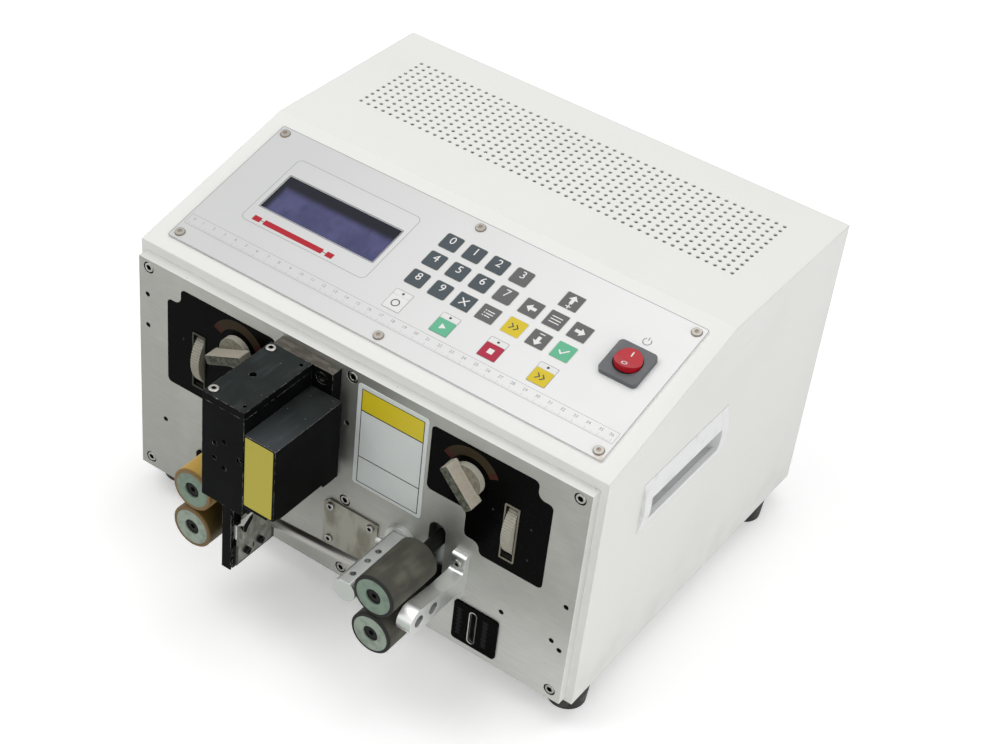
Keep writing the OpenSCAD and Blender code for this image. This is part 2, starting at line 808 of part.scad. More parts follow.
module thumbwheel(x) {
    difference() {
        translate([x - wheel_w / 2, wheel_y, wheel_z]) rotate([0, 90, 0]) cylinder(d = wheel_d,
            h = wheel_w, $fn = 120);
        for (i = [0:wheel_ribs - 1])
            translate([x - wheel_w / 2 - over, wheel_y, wheel_z]) rotate([i * 360 / wheel_ribs, 0, 0])
                translate([0, wheel_d / 2, 0]) rotate([0, 90, 0])
                    cylinder(d = wheel_rib_d, h = wheel_w + 2 * over, $fn = 4);
        for (side = [0, 1])
            translate([x + (side - 0.5) * wheel_w * (1 + wheel_web_share) - wheel_w / 2, wheel_y, wheel_z])
                rotate([0, 90, 0]) difference() {
                    cylinder(d = wheel_d - 2 * wheel_rim, h = wheel_w);
                    translate([0, 0, -over]) cylinder(d = wheel_boss_d, h = wheel_w + 2 * over);
                }
        translate([x - wheel_w, wheel_y, wheel_z]) rotate([0, 90, 0])
            cylinder(d = wheel_axle_d + 2 * run_gap, h = 2 * wheel_w);
    }
}

module thumbwheel_left() color("tan") on_floor() thumbwheel(-wheel_x);
module thumbwheel_right() color("tan") on_floor() thumbwheel(wheel_x);

module wheel_brackets() color("silver") on_floor() both_sides() {
    cheek0 = wheel_x - wheel_w / 2 - cheek_gap - cheek_t;
    cheek1 = wheel_x + wheel_w / 2 + cheek_gap + cheek_t;
    for (x = [cheek0, cheek1 - cheek_t])
        block([x, 0, wheel_z - cheek_h / 2], [x + cheek_t, wheel_y + cheek_h / 2, wheel_z + cheek_h / 2]);
    along_x(cheek0, wheel_y, wheel_z, wheel_axle_d, cheek1 - cheek0);
}

// Cutter head
screw_x = -49.3;
screw_y = 53.9;
drive_z = 158;
mount_left = 61.5;
mount_right = 9.3;
mount_drop = 7;
housing_right = housing_left - housing_w;
housing_top = housing_z + housing_h;
side_wall_t = 2.5;
lid_screw_d = 7.5;
lid_screw_in = [3.2, 6];
lid_hole_d = 5.5;
peep_d = 4;
peep_share = [[0.54, 0.666], [0.31, 0.607], [0.31, 0.455], [0.54, 0.393]];
lock_hole_d = 6;
lock_hole_share = [0.915, 0.555];

module head_mount_block() color("dimgray") on_floor() {
    difference() {
        block([-mount_left, -housing_back, housing_z - mount_drop], [-mount_right, -plate_t, housing_top]);
        along_y(screw_x, -housing_back - over, drive_z, drive_hole_d, mount_t + 2 * over);
        block_screw_places() along_y(0, -housing_back - over, 0, block_head_d, block_head_h + over);
        block_screw_places() along_y(0, -housing_back - over, 0, block_shank_d, mount_t + 2 * over);
    }
}

// Screws that hold the mount block
block_screw_x = -18.7;
block_screw_drop = 7.7;
block_head_d = 10;
block_head_h = 5;
block_shank_d = 5.5;

module block_screw_places() {
    for (z = [housing_z, housing_top - block_screw_drop])
        translate([block_screw_x, 0, z]) children();
}

module cutter_housing() color("dimgray") on_floor() {
    cavity_left = -housing_left + housing_wall;
    cavity_right = -housing_right - side_wall_t;
    lid_z = housing_top - lid_t;
    difference() {
        block([-housing_left, -housing_front, housing_z], [-housing_right, -housing_back, lid_z]);
        block([cavity_left, -housing_front + housing_wall, housing_z - over],
            [cavity_right, -housing_back - housing_wall, lid_z + over]);
        block([-lower_arm_left - slide_gap, -lower_arm_front - slide_gap, housing_z - over],
            [-lower_arm_right + slide_gap, -housing_front + housing_wall + over,
                housing_z + 2 * knife_travel + face_gap]);
        along_y(screw_x, -housing_back - housing_wall - over, drive_z, drive_hole_d,
            housing_wall + 2 * over);
        for (p = peep_share)
            along_y(-housing_left + p[0] * housing_w, -housing_front - over,
                housing_z + p[1] * (lid_z - housing_z), peep_d, housing_wall / 2 + over);
        along_y(-housing_left + lock_hole_share[0] * housing_w, -housing_front - over,
            housing_z + lock_hole_share[1] * (lid_z - housing_z), lock_hole_d, housing_wall / 2 + over);
    }
}

module cutter_lid() color("dimgray") on_floor() {
    difference() {
        block([-housing_left, -housing_front, housing_top - lid_t],
            [-housing_right, -housing_back, housing_top]);
        translate([screw_x, -screw_y, housing_top - lid_t - over])
            cylinder(d = lid_hole_d, h = lid_t + 2 * over);
        lid_screw_places() translate([0, 0, -lid_t]) cylinder(d = access_shank_d, h = lid_t + over);
    }
}

module lid_screw_places() {
    for (x = [-housing_left + lid_screw_in[0] * 1.5, -housing_right - lid_screw_in[0] * 1.5])
        for (y = [-housing_front + lid_screw_in[1], -housing_back - lid_screw_in[1]])
            translate([x, y, housing_top]) children();
}

// Sheet cover beside the housing, open below
guard_right = housing_right - guard_w;
guard_tail_d = 16;
guard_tail_h = 3;
guard_notch = [6, 2];

module safety_cover() color("dimgray") on_floor() {
    difference() {
        union() {
            block([-housing_right, -housing_front + guard_t / 2, guard_bottom],
                [-guard_right, -housing_back, guard_top]);
            block([-housing_right, -housing_back - guard_tail_d, guard_bottom - guard_tail_h],
                [-guard_right, -housing_back, guard_top]);
        }
        block([-housing_right + guard_t, -housing_front + guard_t * 3 / 2,
            guard_bottom - guard_tail_h - over],
            [-guard_right - guard_t, -housing_back - guard_t, guard_top - guard_t]);
        block([-guard_right - guard_notch[0], -housing_front - over, guard_bottom - over],
            [-guard_right + over, -housing_front + guard_notch[0], guard_bottom + guard_notch[1]]);
    }
}

// Knife screw with its bevel wheel
knife_screw_d = 8;
journal_d = 5;
bevel_outer = 8;
bevel_inner = 4.5;
bevel_gap = 0.25;
nut_h = 13;
nut_half_w = 8;
lower_nut_rise = 5;
screw_drop = 3;
screw_bottom = housing_z + screw_drop;
arm_gap = 2;
lower_nut_z = housing_z + lower_nut_rise;
upper_nut_z = drive_z - bevel_outer - arm_gap * 2 - nut_h;

module bevel_wheel() {
    translate([0, 0, bevel_inner]) cylinder(r1 = bevel_inner - bevel_gap, r2 = bevel_outer - bevel_gap,
        h = bevel_outer - bevel_inner);
}

module knife_screw() color("silver") on_floor() translate([screw_x, -screw_y, 0]) {
    translate([0, 0, screw_bottom]) cylinder(d = knife_screw_d, h = drive_z - bevel_outer - screw_bottom);
    translate([0, 0, drive_z - bevel_outer - over]) cylinder(d = journal_d,
        h = housing_top - lid_t - drive_z + bevel_outer + over + lid_t / 2);
    translate([0, 0, drive_z]) rotate([180, 0, 0]) bevel_wheel();
}

module knife_drive() color("silver") on_floor() translate([screw_x, -screw_y, drive_z])
    rotate([-90, 0, 0]) {
    bevel_wheel();
    translate([0, 0, bevel_outer - over]) cylinder(d = knife_screw_d,
        h = screw_y - bevel_outer + over + over);
}

// Knife motor behind the plate
knife_motor_w = 42;
knife_motor_len = 40;
motor_well = 4;

module knife_motor() color("dimgray") on_floor() {
    difference() {
        block([screw_x - knife_motor_w / 2, 0, drive_z - knife_motor_w / 2],
            [screw_x + knife_motor_w / 2, knife_motor_len, drive_z + knife_motor_w / 2]);
        along_y(screw_x, -over, drive_z, drive_hole_d, over + motor_well);
    }
}

// Knife arms and blades
lower_arm_left = 46.5;
lower_arm_right = 38.7;
arm_cover_t = 2.4;
lower_arm_front = housing_front - arm_cover_t;
lower_arm_back = 41.8;
lower_arm_z = 42.5;
blade_t = 2.7;
blade_gap = 0.05;
blade_front = 79;
blade_back = 42.5;
lower_blade_front = 83;
lower_blade_z = 45.8;
blade_top = 84;
notch_depth = 16;
notch_half = 5.5;
upper_arm_t = 3.4;
upper_blade_top = 104;
upper_blade_tip = 69.5;
upper_arm_bottom = 96;
nut_clear = 1.5;
pass_w = 8;
arm_neck_front = 82;
arm_groove_in = 1.2;
arm_groove_w = 1.4;
arm_groove_y = lower_arm_front - arm_groove_in - arm_groove_w;
arm_groove_depth = 1.2;
notch_lip_share = 0.8;
notch_rise_share = 0.25;
blade_screw_y = [72, 57.7];
blade_screw_z = 53.7;
blade_screw_d = 3;
blade_head_d = 5.4;
blade_head_h = 2.4;
blade_screw_grip = 4;
blade_slot_y = 64.5;
blade_slot_w = 2;
blade_slot_h = 4.5;

module screw_nut(z) {
    block([screw_x - nut_half_w + nut_clear, -screw_y - nut_half_w, z],
        [-lower_arm_right, -screw_y + nut_half_w, z + nut_h]);
}

module lower_knife_arm() color("dimgray") on_floor() {
    difference() {
        union() {
            block([-lower_arm_left, -lower_arm_front, lower_arm_z],
                [-lower_arm_right, -lower_arm_back, lower_nut_z]);
            block([-lower_arm_left, -arm_neck_front, lower_arm_z],
                [-lower_arm_right, -lower_arm_back, lower_nut_z + nut_h]);
            screw_nut(lower_nut_z);
        }
        translate([screw_x, -screw_y, screw_bottom - knife_travel - over])
            cylinder(d = knife_screw_d + 2 * run_gap, h = housing_h);
        facing_side(-lower_arm_left - over, lower_arm_left - lower_arm_right + 2 * over)
            for (y = [-front_wire_y, -rear_wire_y])
                translate([y, 0]) oblong(pass_w, wire_z - pass_w - knife_travel / 2, wire_z + pass_w);
        block([-lower_arm_right - arm_groove_depth, -arm_groove_y - arm_groove_w, lower_arm_z - over],
            [-lower_arm_right + over, -arm_groove_y, lower_nut_z + nut_h + over]);
        blade_screw_shanks(over);
    }
}

module blade_screw_shanks(beyond) {
    for (y = blade_screw_y)
        along_x(-lower_arm_right - blade_screw_grip, -y, blade_screw_z, blade_screw_d,
            blade_screw_grip + blade_t + beyond);
}

module lower_blade_screws() color("dimgray") on_floor() {
    head_x = blade_t - lower_arm_right;
    blade_screw_shanks(blade_head_h / 4);
    for (y = blade_screw_y)
        difference() {
            along_x(head_x, -y, blade_screw_z, blade_head_d, blade_head_h);
            along_x(head_x + blade_head_h / 2, -y, blade_screw_z, blade_head_d / 2, blade_head_h);
        }
}

module lower_blade() color("silver") on_floor() difference() {
    facing_side(-lower_arm_right, blade_t) polygon([[-lower_blade_front, lower_blade_z],
        [-blade_back, lower_blade_z],
        [-blade_back, blade_top], [-rear_wire_y + notch_half * notch_lip_share, blade_top],
        [-rear_wire_y, blade_top - notch_depth],
        [-rear_wire_y - notch_half, blade_top - notch_depth * notch_rise_share],
        [-front_wire_y + notch_half, blade_top - notch_depth * notch_rise_share],
        [-front_wire_y, blade_top - notch_depth], [-front_wire_y - notch_half, blade_top],
        [-lower_blade_front, blade_top]]);
    facing_side(blade_t / 2 - lower_arm_right, blade_t) translate([-blade_slot_y, 0])
        oblong(blade_slot_w, blade_screw_z - blade_slot_h / 2, blade_screw_z + blade_slot_h / 2);
    blade_screw_shanks(over);
}

module upper_knife_arm() color("dimgray") on_floor() {
    arm0 = -lower_arm_right + 2 * blade_t + blade_gap;
    difference() {
        union() {
            block([screw_x - nut_half_w + nut_clear, -screw_y - nut_half_w, upper_nut_z],
                [arm0 + upper_arm_t, -screw_y + nut_half_w, upper_nut_z + nut_h]);
            block([arm0, -blade_front, upper_arm_bottom],
                [arm0 + upper_arm_t, -blade_back, upper_nut_z + nut_h]);
        }
        translate([screw_x, -screw_y, housing_z]) cylinder(d = knife_screw_d + 2 * run_gap, h = housing_h);
    }
}

module upper_blade() color("silver") on_floor() {
    facing_side(-lower_arm_right + blade_t + blade_gap, blade_t) polygon([[-blade_front, upper_blade_top],
        [-blade_back, upper_blade_top], [-blade_back, upper_blade_tip],
            [-rear_wire_y + notch_half * notch_lip_share, upper_blade_tip],
        [-rear_wire_y, upper_blade_tip + notch_depth / 2], [-rear_wire_y - notch_half, upper_blade_tip],
        [-front_wire_y + notch_half, upper_blade_tip], [-front_wire_y, upper_blade_tip + notch_depth / 2],
        [-front_wire_y - notch_half, upper_blade_tip], [-blade_front, upper_blade_tip]]);
}

// Swing arm with the wire tube
boss_d = 25;
boss_t = 4;
arm_front = 74.5;
arm_flat = 8;
arm_hole_d = 4.5;
arm_hole_y = [64.3, 48.1, 36.2];
arm_lock_y = 23;
arm_lock_z = 4;
arm_lock_d = 4.6;
arm_lock_out = 2.4;
arm_lock_socket_d = 2.3;
tube_wall = 1;
tube_end_x = -32.6;

module pivot_boss() color("silver") on_floor() {
    difference() {
        along_y(arm_x, -plate_t - boss_t, wire_z, boss_d, boss_t);
        along_y(arm_x, -plate_t - boss_t - over, wire_z, pivot_d + 2 * run_gap, boss_t + 2 * over);
    }
}

module arm_tilted() {
    rotate_about(arm_x, wire_z, -tube_tilt) children();
}

module swing_arm() color("silver") on_floor() arm_tilted() {
    back = -plate_t - boss_t - face_gap;
    difference() {
        union() {
            along_y(arm_x, -arm_front, wire_z, arm_d, arm_front + back);
            along_y(arm_x, back - over, wire_z, pivot_d, over + face_gap + boss_t + plate_t);
            along_x(arm_x - arm_d / 2 - arm_lock_out, -arm_lock_y, wire_z + arm_lock_z, arm_lock_d,
                arm_d / 2);
        }
        along_x(arm_x - arm_d / 2 - arm_lock_out - over, -arm_lock_y, wire_z + arm_lock_z,
            arm_lock_socket_d,
            over + arm_lock_out);
        block([arm_x - arm_d, -arm_front - over, wire_z + arm_flat],
            [arm_x + arm_d, back + over, wire_z + arm_d]);
        for (y = arm_hole_y)
            translate([arm_x, -y, wire_z]) cylinder(d = arm_hole_d, h = arm_d);
        along_x(arm_x - arm_d, -rear_wire_y, wire_z, tube_d, 2 * arm_d);
        along_x(arm_x - arm_d, -front_wire_y, wire_z, tube_d, 2 * arm_d);
    }
}

module wire_tube() color("silver") on_floor() arm_tilted() {
    difference() {
        along_x(tube_end_x, -rear_wire_y, wire_z, tube_d, arm_x + arm_d / 2 - tube_end_x);
        along_x(tube_end_x - over, -rear_wire_y, wire_z, tube_d - 2 * tube_wall,
            arm_x + arm_d - tube_end_x);
    }
}

// Outlet bracket: foot on the plate and an arm with two bores
bracket_foot_t = 5.7;
bracket_foot_z0 = 55;
bracket_foot_z1 = 93.5;
bracket_foot_r = 3;
bracket_arm_top = 6.7;
bracket_arm_bottom = 8.8;
bracket_neck_y = 38;
bracket_end_r = 10.4;
bracket_screw_z = 86;
bracket_screw_d = 7.5;
bracket_fillet = 2.6;
bracket_pin_d = 2;
bracket_pin_depth = 3;
bracket_pin_places = [[39.5, -7], [27.4, -6.5]];

module outlet_bracket() color("silver") on_floor() {
    difference() {
        facing_side(bracket_x, bracket_w) union() {
            difference() {
                translate([-plate_t - bracket_foot_t, bracket_foot_z0])
                    square([bracket_foot_t, bracket_foot_z1 - bracket_foot_z0]);
                translate([-plate_t - bracket_foot_t, bracket_foot_z1 - bracket_foot_r]) difference() {
                    translate([-over, 0]) square([bracket_foot_r + over, bracket_foot_r + over]);
                    translate([bracket_foot_r, 0]) circle(r = bracket_foot_r);
                }
            }
            polygon([[-plate_t - over, wire_z - bracket_arm_bottom],
                [-plate_t - over, wire_z + bracket_arm_top],
                [-bracket_neck_y, wire_z + bracket_arm_top], [-front_wire_y, wire_z + bracket_end_r],
                [-front_wire_y, wire_z - bracket_end_r], [-bracket_neck_y, wire_z - bracket_arm_bottom]]);
            translate([-front_wire_y, wire_z]) circle(r = bracket_end_r);
            for (side = [0, 1])
                translate([-plate_t - bracket_foot_t, wire_z]) mirror([0, side, 0])
                    translate([0, side > 0 ? bracket_arm_bottom : bracket_arm_top]) difference() {
                        translate([-bracket_fillet, -over])
                            square([bracket_fillet + over, bracket_fillet + over]);
                        translate([-bracket_fillet, bracket_fillet]) circle(r = bracket_fillet);
                    }
        }
        for (place = bracket_pin_places)
            along_x(bracket_x + bracket_w - bracket_pin_depth, -place[0], wire_z + place[1], bracket_pin_d,
                bracket_pin_depth + over);
        for (y = [-front_wire_y, -rear_wire_y])
            along_x(bracket_x - over, y, wire_z, guide_bore_d, bracket_w + 2 * over);
        along_y(bracket_x + bracket_w / 2, -plate_t - bracket_foot_t - over, bracket_screw_z,
            access_shank_d, bracket_foot_t + 2 * over);
    }
}

// Control panel
overlay_r = 2;
overlay_hole_d = 3.5;
bezel_size = [30, 30.75];
bezel_r = 3.5;
bezel_h = 4;
bezel_floor = 0.8;
switch_wall = 3;
switch_depth = 20;
rocker_skirt = 1;
rocker_rise = 4;
rocker_axis_drop = 1.6;
rocker_pin_d = 1.6;
rocker_pin_in = 1;
rocker_gap = 0.4;
panel_screw_in = 6.5;
panel_screw_x = overlay_w / 2 - panel_screw_in;
panel_head_d = 7;
panel_head_h = 1.4;
lcd_depth = 12;
lcd_frame = 4;
board_w = 150;
board_x = 45;
board_s0 = 30;
board_len = 95;
board_t = 1.6;
board_drop = 14;
stud_d = 6;

module panel_screw_places() {
    on_slope() for (x = [-panel_screw_x, 0, panel_screw_x])
        for (s = [overlay_start + panel_screw_in, overlay_start + overlay_len - panel_screw_in])
            translate([x, s, overlay_t]) children();
}

module control_overlay() color("gainsboro") on_floor() {
    difference() {
        on_slope() linear_extrude(overlay_t) difference() {
            translate([0, overlay_start + overlay_len / 2]) rounded([overlay_w, overlay_len], overlay_r);
            translate([lcd_x, lcd_s]) square(lcd_size, center = true);
            translate([switch_x, switch_s]) circle(d = switch_body_d + 2 * slide_gap);
        }
        panel_screw_places() translate([0, 0, -overlay_t - over])
            cylinder(d = overlay_hole_d, h = overlay_t + 2 * over);
    }
}

module lcd_window() color("midnightblue") on_floor() on_slope() {
    translate([lcd_x, lcd_s, -sheet_t]) linear_extrude(sheet_t + overlay_t * 3 / 4) square(lcd_size,
        center = true);
    translate([lcd_x, lcd_s, -sheet_t - lcd_depth]) linear_extrude(lcd_depth)
        square([lcd_size[0] + 2 * lcd_frame, lcd_size[1] + 2 * lcd_frame], center = true);
}

module switch_bezel() color("gray") on_floor() on_slope() {
    difference() {
        union() {
            translate([switch_x, switch_s, overlay_t]) linear_extrude(bezel_h) rounded(bezel_size, bezel_r);
            translate([switch_x, switch_s, -switch_depth]) cylinder(d = switch_body_d,
                h = switch_depth + overlay_t);
        }
        translate([switch_x, switch_s, overlay_t + bezel_floor])
            cylinder(d = switch_d + 2 * slide_gap, h = bezel_h + over);
        along_x(switch_x - switch_d / 2 - rocker_pin_in - slide_gap, switch_s,
            overlay_t + bezel_h - rocker_axis_drop, rocker_pin_d + 2 * run_gap,
            switch_d + 2 * (rocker_pin_in + slide_gap));
        translate([switch_x, switch_s, -switch_depth / 2])
            cylinder(d = switch_body_d - 2 * switch_wall, h = switch_depth);
    }
}

module power_rocker() color("red") on_floor() on_slope() {
    top = overlay_t + bezel_h;
    axis = top - rocker_axis_drop;
    translate([switch_x, switch_s, axis]) rotate([-switch_throw / 2, 0, 0]) translate([0, 0, -axis]) {
        along_x(-switch_d / 2 - rocker_pin_in, 0, axis, rocker_pin_d, switch_d + 2 * rocker_pin_in);
        intersection() {
            translate([0, 0, overlay_t]) cylinder(d = switch_d - 2 * rocker_gap, h = bezel_h * 2);
            facing_side(-switch_d / 2, switch_d)
                polygon([[-switch_d / 2, top - rocker_skirt], [-switch_d / 2, top + rocker_rise],
                    [0, top + rocker_rise / 3], [switch_d / 2, top + rocker_rise],
                    [switch_d / 2, top - rocker_skirt], [0, overlay_t + bezel_h / 4]]);
        }
    }
}

module control_board() color("green") on_floor() on_slope() {
    translate([board_x - board_w / 2, board_s0, -board_drop]) cube([board_w, board_len, board_t]);
    for (x = [board_x - board_w / 2 + stud_d, board_x + board_w / 2 - stud_d])
        for (s = [board_s0 + stud_d, board_s0 + board_len - stud_d])
            translate([x, s, -board_drop + board_t]) cylinder(d = stud_d,
                h = board_drop - board_t - sheet_t);
}

// Power supply on the floor pan
supply_size = [215, 90, 45];
supply_x = -40;
supply_back_gap = 40;

module power_supply() color("silver") on_floor() {
    translate([supply_x - supply_size[0] / 2, case_d - supply_back_gap - supply_size[1], sheet_t])
        cube(supply_size);
}

// Mains inlet
inlet_depth = 25;
inlet_well = [20, 15];
inlet_well_depth = 14;
inlet_pin = [1.6, 12, 5];
inlet_pin_pitch = 6;

module power_inlet() color("black") on_floor() translate([inlet_x, 0, inlet_z]) {
    difference() {
        union() {
            facing_front(case_d, inlet_flange_t) rounded(inlet_size, overlay_r);
            block([-inlet_body[0] / 2 + slide_gap, case_d - inlet_depth, -inlet_body[1] / 2 + slide_gap],
                [inlet_body[0] / 2 - slide_gap, case_d, inlet_body[1] / 2 - slide_gap]);
        }
        block([-inlet_well[0] / 2, case_d + inlet_flange_t - inlet_well_depth,
            -inlet_body[1] / 4 - inlet_well[1] / 2],
            [inlet_well[0] / 2, case_d + inlet_flange_t + over, -inlet_body[1] / 4 + inlet_well[1] / 2]);
    }
    for (i = [-1, 0, 1])
        translate([i * inlet_pin_pitch,
            case_d + inlet_flange_t - inlet_well_depth - over + inlet_pin[1] / 2,
            -inlet_body[1] / 4 + (1 - abs(i)) * 2 * inlet_pin[0]])
            cube([inlet_pin[0], inlet_pin[1], inlet_pin[2]], center = true);
}

// Cooling fan
fan_wall = 2;
fan_bore_gap = 2;
fan_hub_share = 0.45;
fan_blades = 7;
fan_blade_t = 1.6;
fan_blade_pitch = 38;
fan_strut_w = 5;

module fan_frame() color("black") on_floor() translate([fan_x, rear_y - fan_t, fan_z]) {
    difference() {
        block([-fan_w / 2, 0, -fan_w / 2], [fan_w / 2, fan_t, fan_w / 2]);
        along_y(0, -over, 0, fan_w - 2 * fan_wall, fan_t + 2 * over);
    }
    for (a = [45, 135])
        rotate([0, a, 0]) block([-fan_w / 2 + fan_wall, 0, -fan_strut_w / 2],
            [fan_w / 2 - fan_wall, fan_wall, fan_strut_w / 2]);
    along_y(0, 0, 0, fan_w * fan_hub_share, 2 * fan_wall);
}

module fan_rotor() color("dimgray") on_floor() translate([fan_x, rear_y - fan_t, fan_z]) {
    hub_front = 2 * fan_wall + face_gap;
    hub_len = fan_t - hub_front - fan_wall;
    tip = fan_w / 2 - fan_wall - fan_bore_gap;
    along_y(0, hub_front, 0, fan_w * fan_hub_share, hub_len);
    intersection() {
        along_y(0, hub_front, 0, 2 * tip, hub_len);
        for (i = [0:fan_blades - 1])
            rotate([0, i * 360 / fan_blades, 0]) translate([fan_w * fan_hub_share / 4,
                hub_front + hub_len / 2, 0])
                rotate([fan_blade_pitch, 0, 0]) translate([0, -fan_t, -fan_blade_t / 2])
                    cube([tip, 2 * fan_t, fan_blade_t]);
    }
}

// Fasteners of the front
module front_screws() color("silver") on_floor() {
    all_plate_screw_places() translate([0, -plate_t, 0])
        socket_screw(plate_head_d, plate_head_h, plate_shank_d, plate_t - plate_head_h);
    access_screw_places() translate([0, -plate_t - access_t - access_head_h, 0])
        socket_screw(access_head_d, access_head_h, access_shank_d, access_t);
    block_screw_places() translate([0, -housing_back, 0])
        socket_screw(block_head_d, block_head_h, block_shank_d, mount_t - block_head_h);
    lid_screw_places() rotate([-90, 0, 0]) translate([0, -access_head_h, 0])
        socket_screw(lid_screw_d, access_head_h, access_shank_d, lid_t - over);
    translate([bracket_x + bracket_w / 2, -plate_t - bracket_foot_t - access_head_h, bracket_screw_z])
        socket_screw(bracket_screw_d, access_head_h, access_shank_d, bracket_foot_t);
}

// Fasteners of the panel and the feet
washer_d = 12;
washer_t = 1.2;

module case_screws() color("silver") on_floor() {
    panel_screw_places() {
        cylinder(d = panel_head_d, h = panel_head_h);
        translate([0, 0, -overlay_t]) cylinder(d = overlay_hole_d, h = overlay_t);
    }
    foot_places() {
        translate([0, 0, -foot_h + foot_h * foot_well_share - washer_t]) cylinder(d = washer_d,
            h = washer_t);
        translate([0, 0, -foot_h + foot_h * foot_well_share]) cylinder(d = foot_screw_d,
            h = foot_h * (1 - foot_well_share) + sheet_t + 2 * over);
    }
}

case_cover();
rear_panel();
base_pan();
feet();
handle_left();
handle_right();
front_plate();
front_screws();
case_screws();
window_panels();
wheel_brackets();
index_plates();
bearing_blocks();
feed_motors();
head_mount_block();
cutter_housing();
cutter_lid();
knife_motor();
safety_cover();
outlet_bracket();
access_plate();
pivot_boss();
control_overlay();
lcd_window();
switch_bezel();
power_inlet();
fan_frame();
power_supply();
control_board();
thumbwheel_left();
thumbwheel_right();
knob_left();
knob_right();
cam_left();
cam_right();
carrier_left();
carrier_right();
tyre_upper_left();
tyre_lower_left();
tyre_upper_right();
tyre_lower_right();
hub_upper_left();
hub_lower_left();
hub_upper_right();
hub_lower_right();
shaft_upper_left();
shaft_lower_left();
shaft_upper_right();
shaft_lower_right();
knife_screw();
knife_drive();
upper_knife_arm();
lower_knife_arm();
upper_blade();
lower_blade();
lower_blade_screws();
swing_arm();
wire_tube();
power_rocker();
fan_rotor();
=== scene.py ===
import json
import math

import bpy
import numpy as np
from mathutils import Matrix, Vector


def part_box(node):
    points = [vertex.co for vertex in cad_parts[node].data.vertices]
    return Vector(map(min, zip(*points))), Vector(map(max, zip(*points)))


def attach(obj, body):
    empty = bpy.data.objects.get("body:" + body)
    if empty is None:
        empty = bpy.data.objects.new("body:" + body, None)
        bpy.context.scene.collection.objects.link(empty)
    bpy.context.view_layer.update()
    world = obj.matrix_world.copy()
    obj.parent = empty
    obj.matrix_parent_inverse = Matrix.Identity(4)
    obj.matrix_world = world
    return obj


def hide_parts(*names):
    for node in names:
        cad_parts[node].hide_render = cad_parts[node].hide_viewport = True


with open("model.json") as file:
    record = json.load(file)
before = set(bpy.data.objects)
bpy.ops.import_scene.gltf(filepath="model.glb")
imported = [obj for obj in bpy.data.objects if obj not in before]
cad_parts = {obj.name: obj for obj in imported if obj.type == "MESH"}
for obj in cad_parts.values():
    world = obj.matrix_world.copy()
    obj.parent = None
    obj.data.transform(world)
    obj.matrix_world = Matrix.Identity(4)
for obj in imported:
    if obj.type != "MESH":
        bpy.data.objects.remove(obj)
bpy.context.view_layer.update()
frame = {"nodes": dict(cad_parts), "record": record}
nodes = frame["nodes"]

# Measures of the machine, in millimetres. x runs from its middle, y from the case's front
# lip towards the back, z from the case's bottom.
LIP_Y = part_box("front_plate")[1][1] * 1000
CASE_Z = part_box("case_cover")[0][2] * 1000
CASE_D = 316.9
FRONT_H, BACK_H, SLOPE_D = 205.1, 244.1, 151.5
SLOPE = math.atan((BACK_H - FRONT_H) / SLOPE_D)
PLATE_Y, PLATE_X, PLATE_LOW, PLATE_TOP = -8.9, 192.8, 4.8, 197.2
LID_Z = 193.7
COVER_FRONT, COVER_LEFT, COVER_TOP = -88.0, -30.0, 180.0
BLADE_FRONT, LOWER_BLADE_X, UPPER_BLADE_X = -79.0, -36.0, -33.25
FAN_X, FAN_Z, FAN_PITCH = -110.0, 150.0, 71.5

# Heights over the slope: the film's top, prints on it, a key's top and prints on that
FILM_T = 1.5
PRINT_H = FILM_T + 0.03
KEY_TOP = FILM_T + 0.3
KEY_PRINT_H = KEY_TOP + 0.04


def at(points):
    """Machine millimetres to metres in the frame: each point moves by the lip and the case's bottom."""
    return (np.asarray(points, float) + [0.0, LIP_Y, CASE_Z]) / 1000


def flat_place(origin, across, up):
    """Places points on a flat face: the origin plus x times across, y times up and h times the cross
    product of those two."""
    o, a, u = (np.array(v, float) for v in (origin, across, up))
    out = np.cross(a, u)

    def place(x, y, h):
        x, y, h = (v[..., None] for v in np.broadcast_arrays(np.asarray(x, float), y, h))
        return o + x * a + y * u + h * out
    return place


RIGHT, BACK, UP = (1, 0, 0), (0, 1, 0), (0, 0, 1)
on_slope = flat_place((0, 0, FRONT_H), RIGHT, (0, math.cos(SLOPE), math.sin(SLOPE)))
on_plate = flat_place((0, PLATE_Y, 0), RIGHT, UP)
on_cover = flat_place((0, COVER_FRONT, 0), RIGHT, UP)
on_blade_edge = flat_place((0, BLADE_FRONT, 0), RIGHT, UP)
on_upper_blade = flat_place((UPPER_BLADE_X, 0, 0), BACK, UP)
on_lower_blade = flat_place((LOWER_BLADE_X, 0, 0), BACK, UP)
on_lid = flat_place((0, 0, LID_Z), RIGHT, BACK)
on_back = flat_place((0, CASE_D, 0), (-1, 0, 0), UP)


# Surfaces worked out as arrays. Each gives (points, faces), to which a material's number may be
# added.

def joined(parts):
    """Several parts as one, the faces' numbers moved on past the points before them."""
    pts, faces, marks, start = [], [], [], 0
    for p, f, *m in parts:
        pts.append(p)
        faces += [[int(i) + start for i in g] for g in f]
        marks += np.broadcast_to(m[0] if m else 0, len(f)).tolist()
        start += len(p)
    return np.concatenate(pts), faces, marks


def piece(name, parts, materials, body="body", smooth=False):
    """One mesh at the origin from parts in machine millimetres, riding on a body."""
    points, faces, marks = joined(parts)
    mesh = bpy.data.meshes.new(name)
    mesh.from_pydata(at(points).tolist(), [], faces)
    mesh.validate()
    mesh.update()
    for m in materials:
        mesh.materials.append(m)
    mesh.polygons.foreach_set("material_index", np.asarray(marks, np.int32))
    mesh.polygons.foreach_set("use_smooth", np.full(len(mesh.polygons), smooth))
    o = bpy.data.objects.new(name, mesh)
    bpy.context.scene.collection.objects.link(o)
    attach(o, body)
    return o


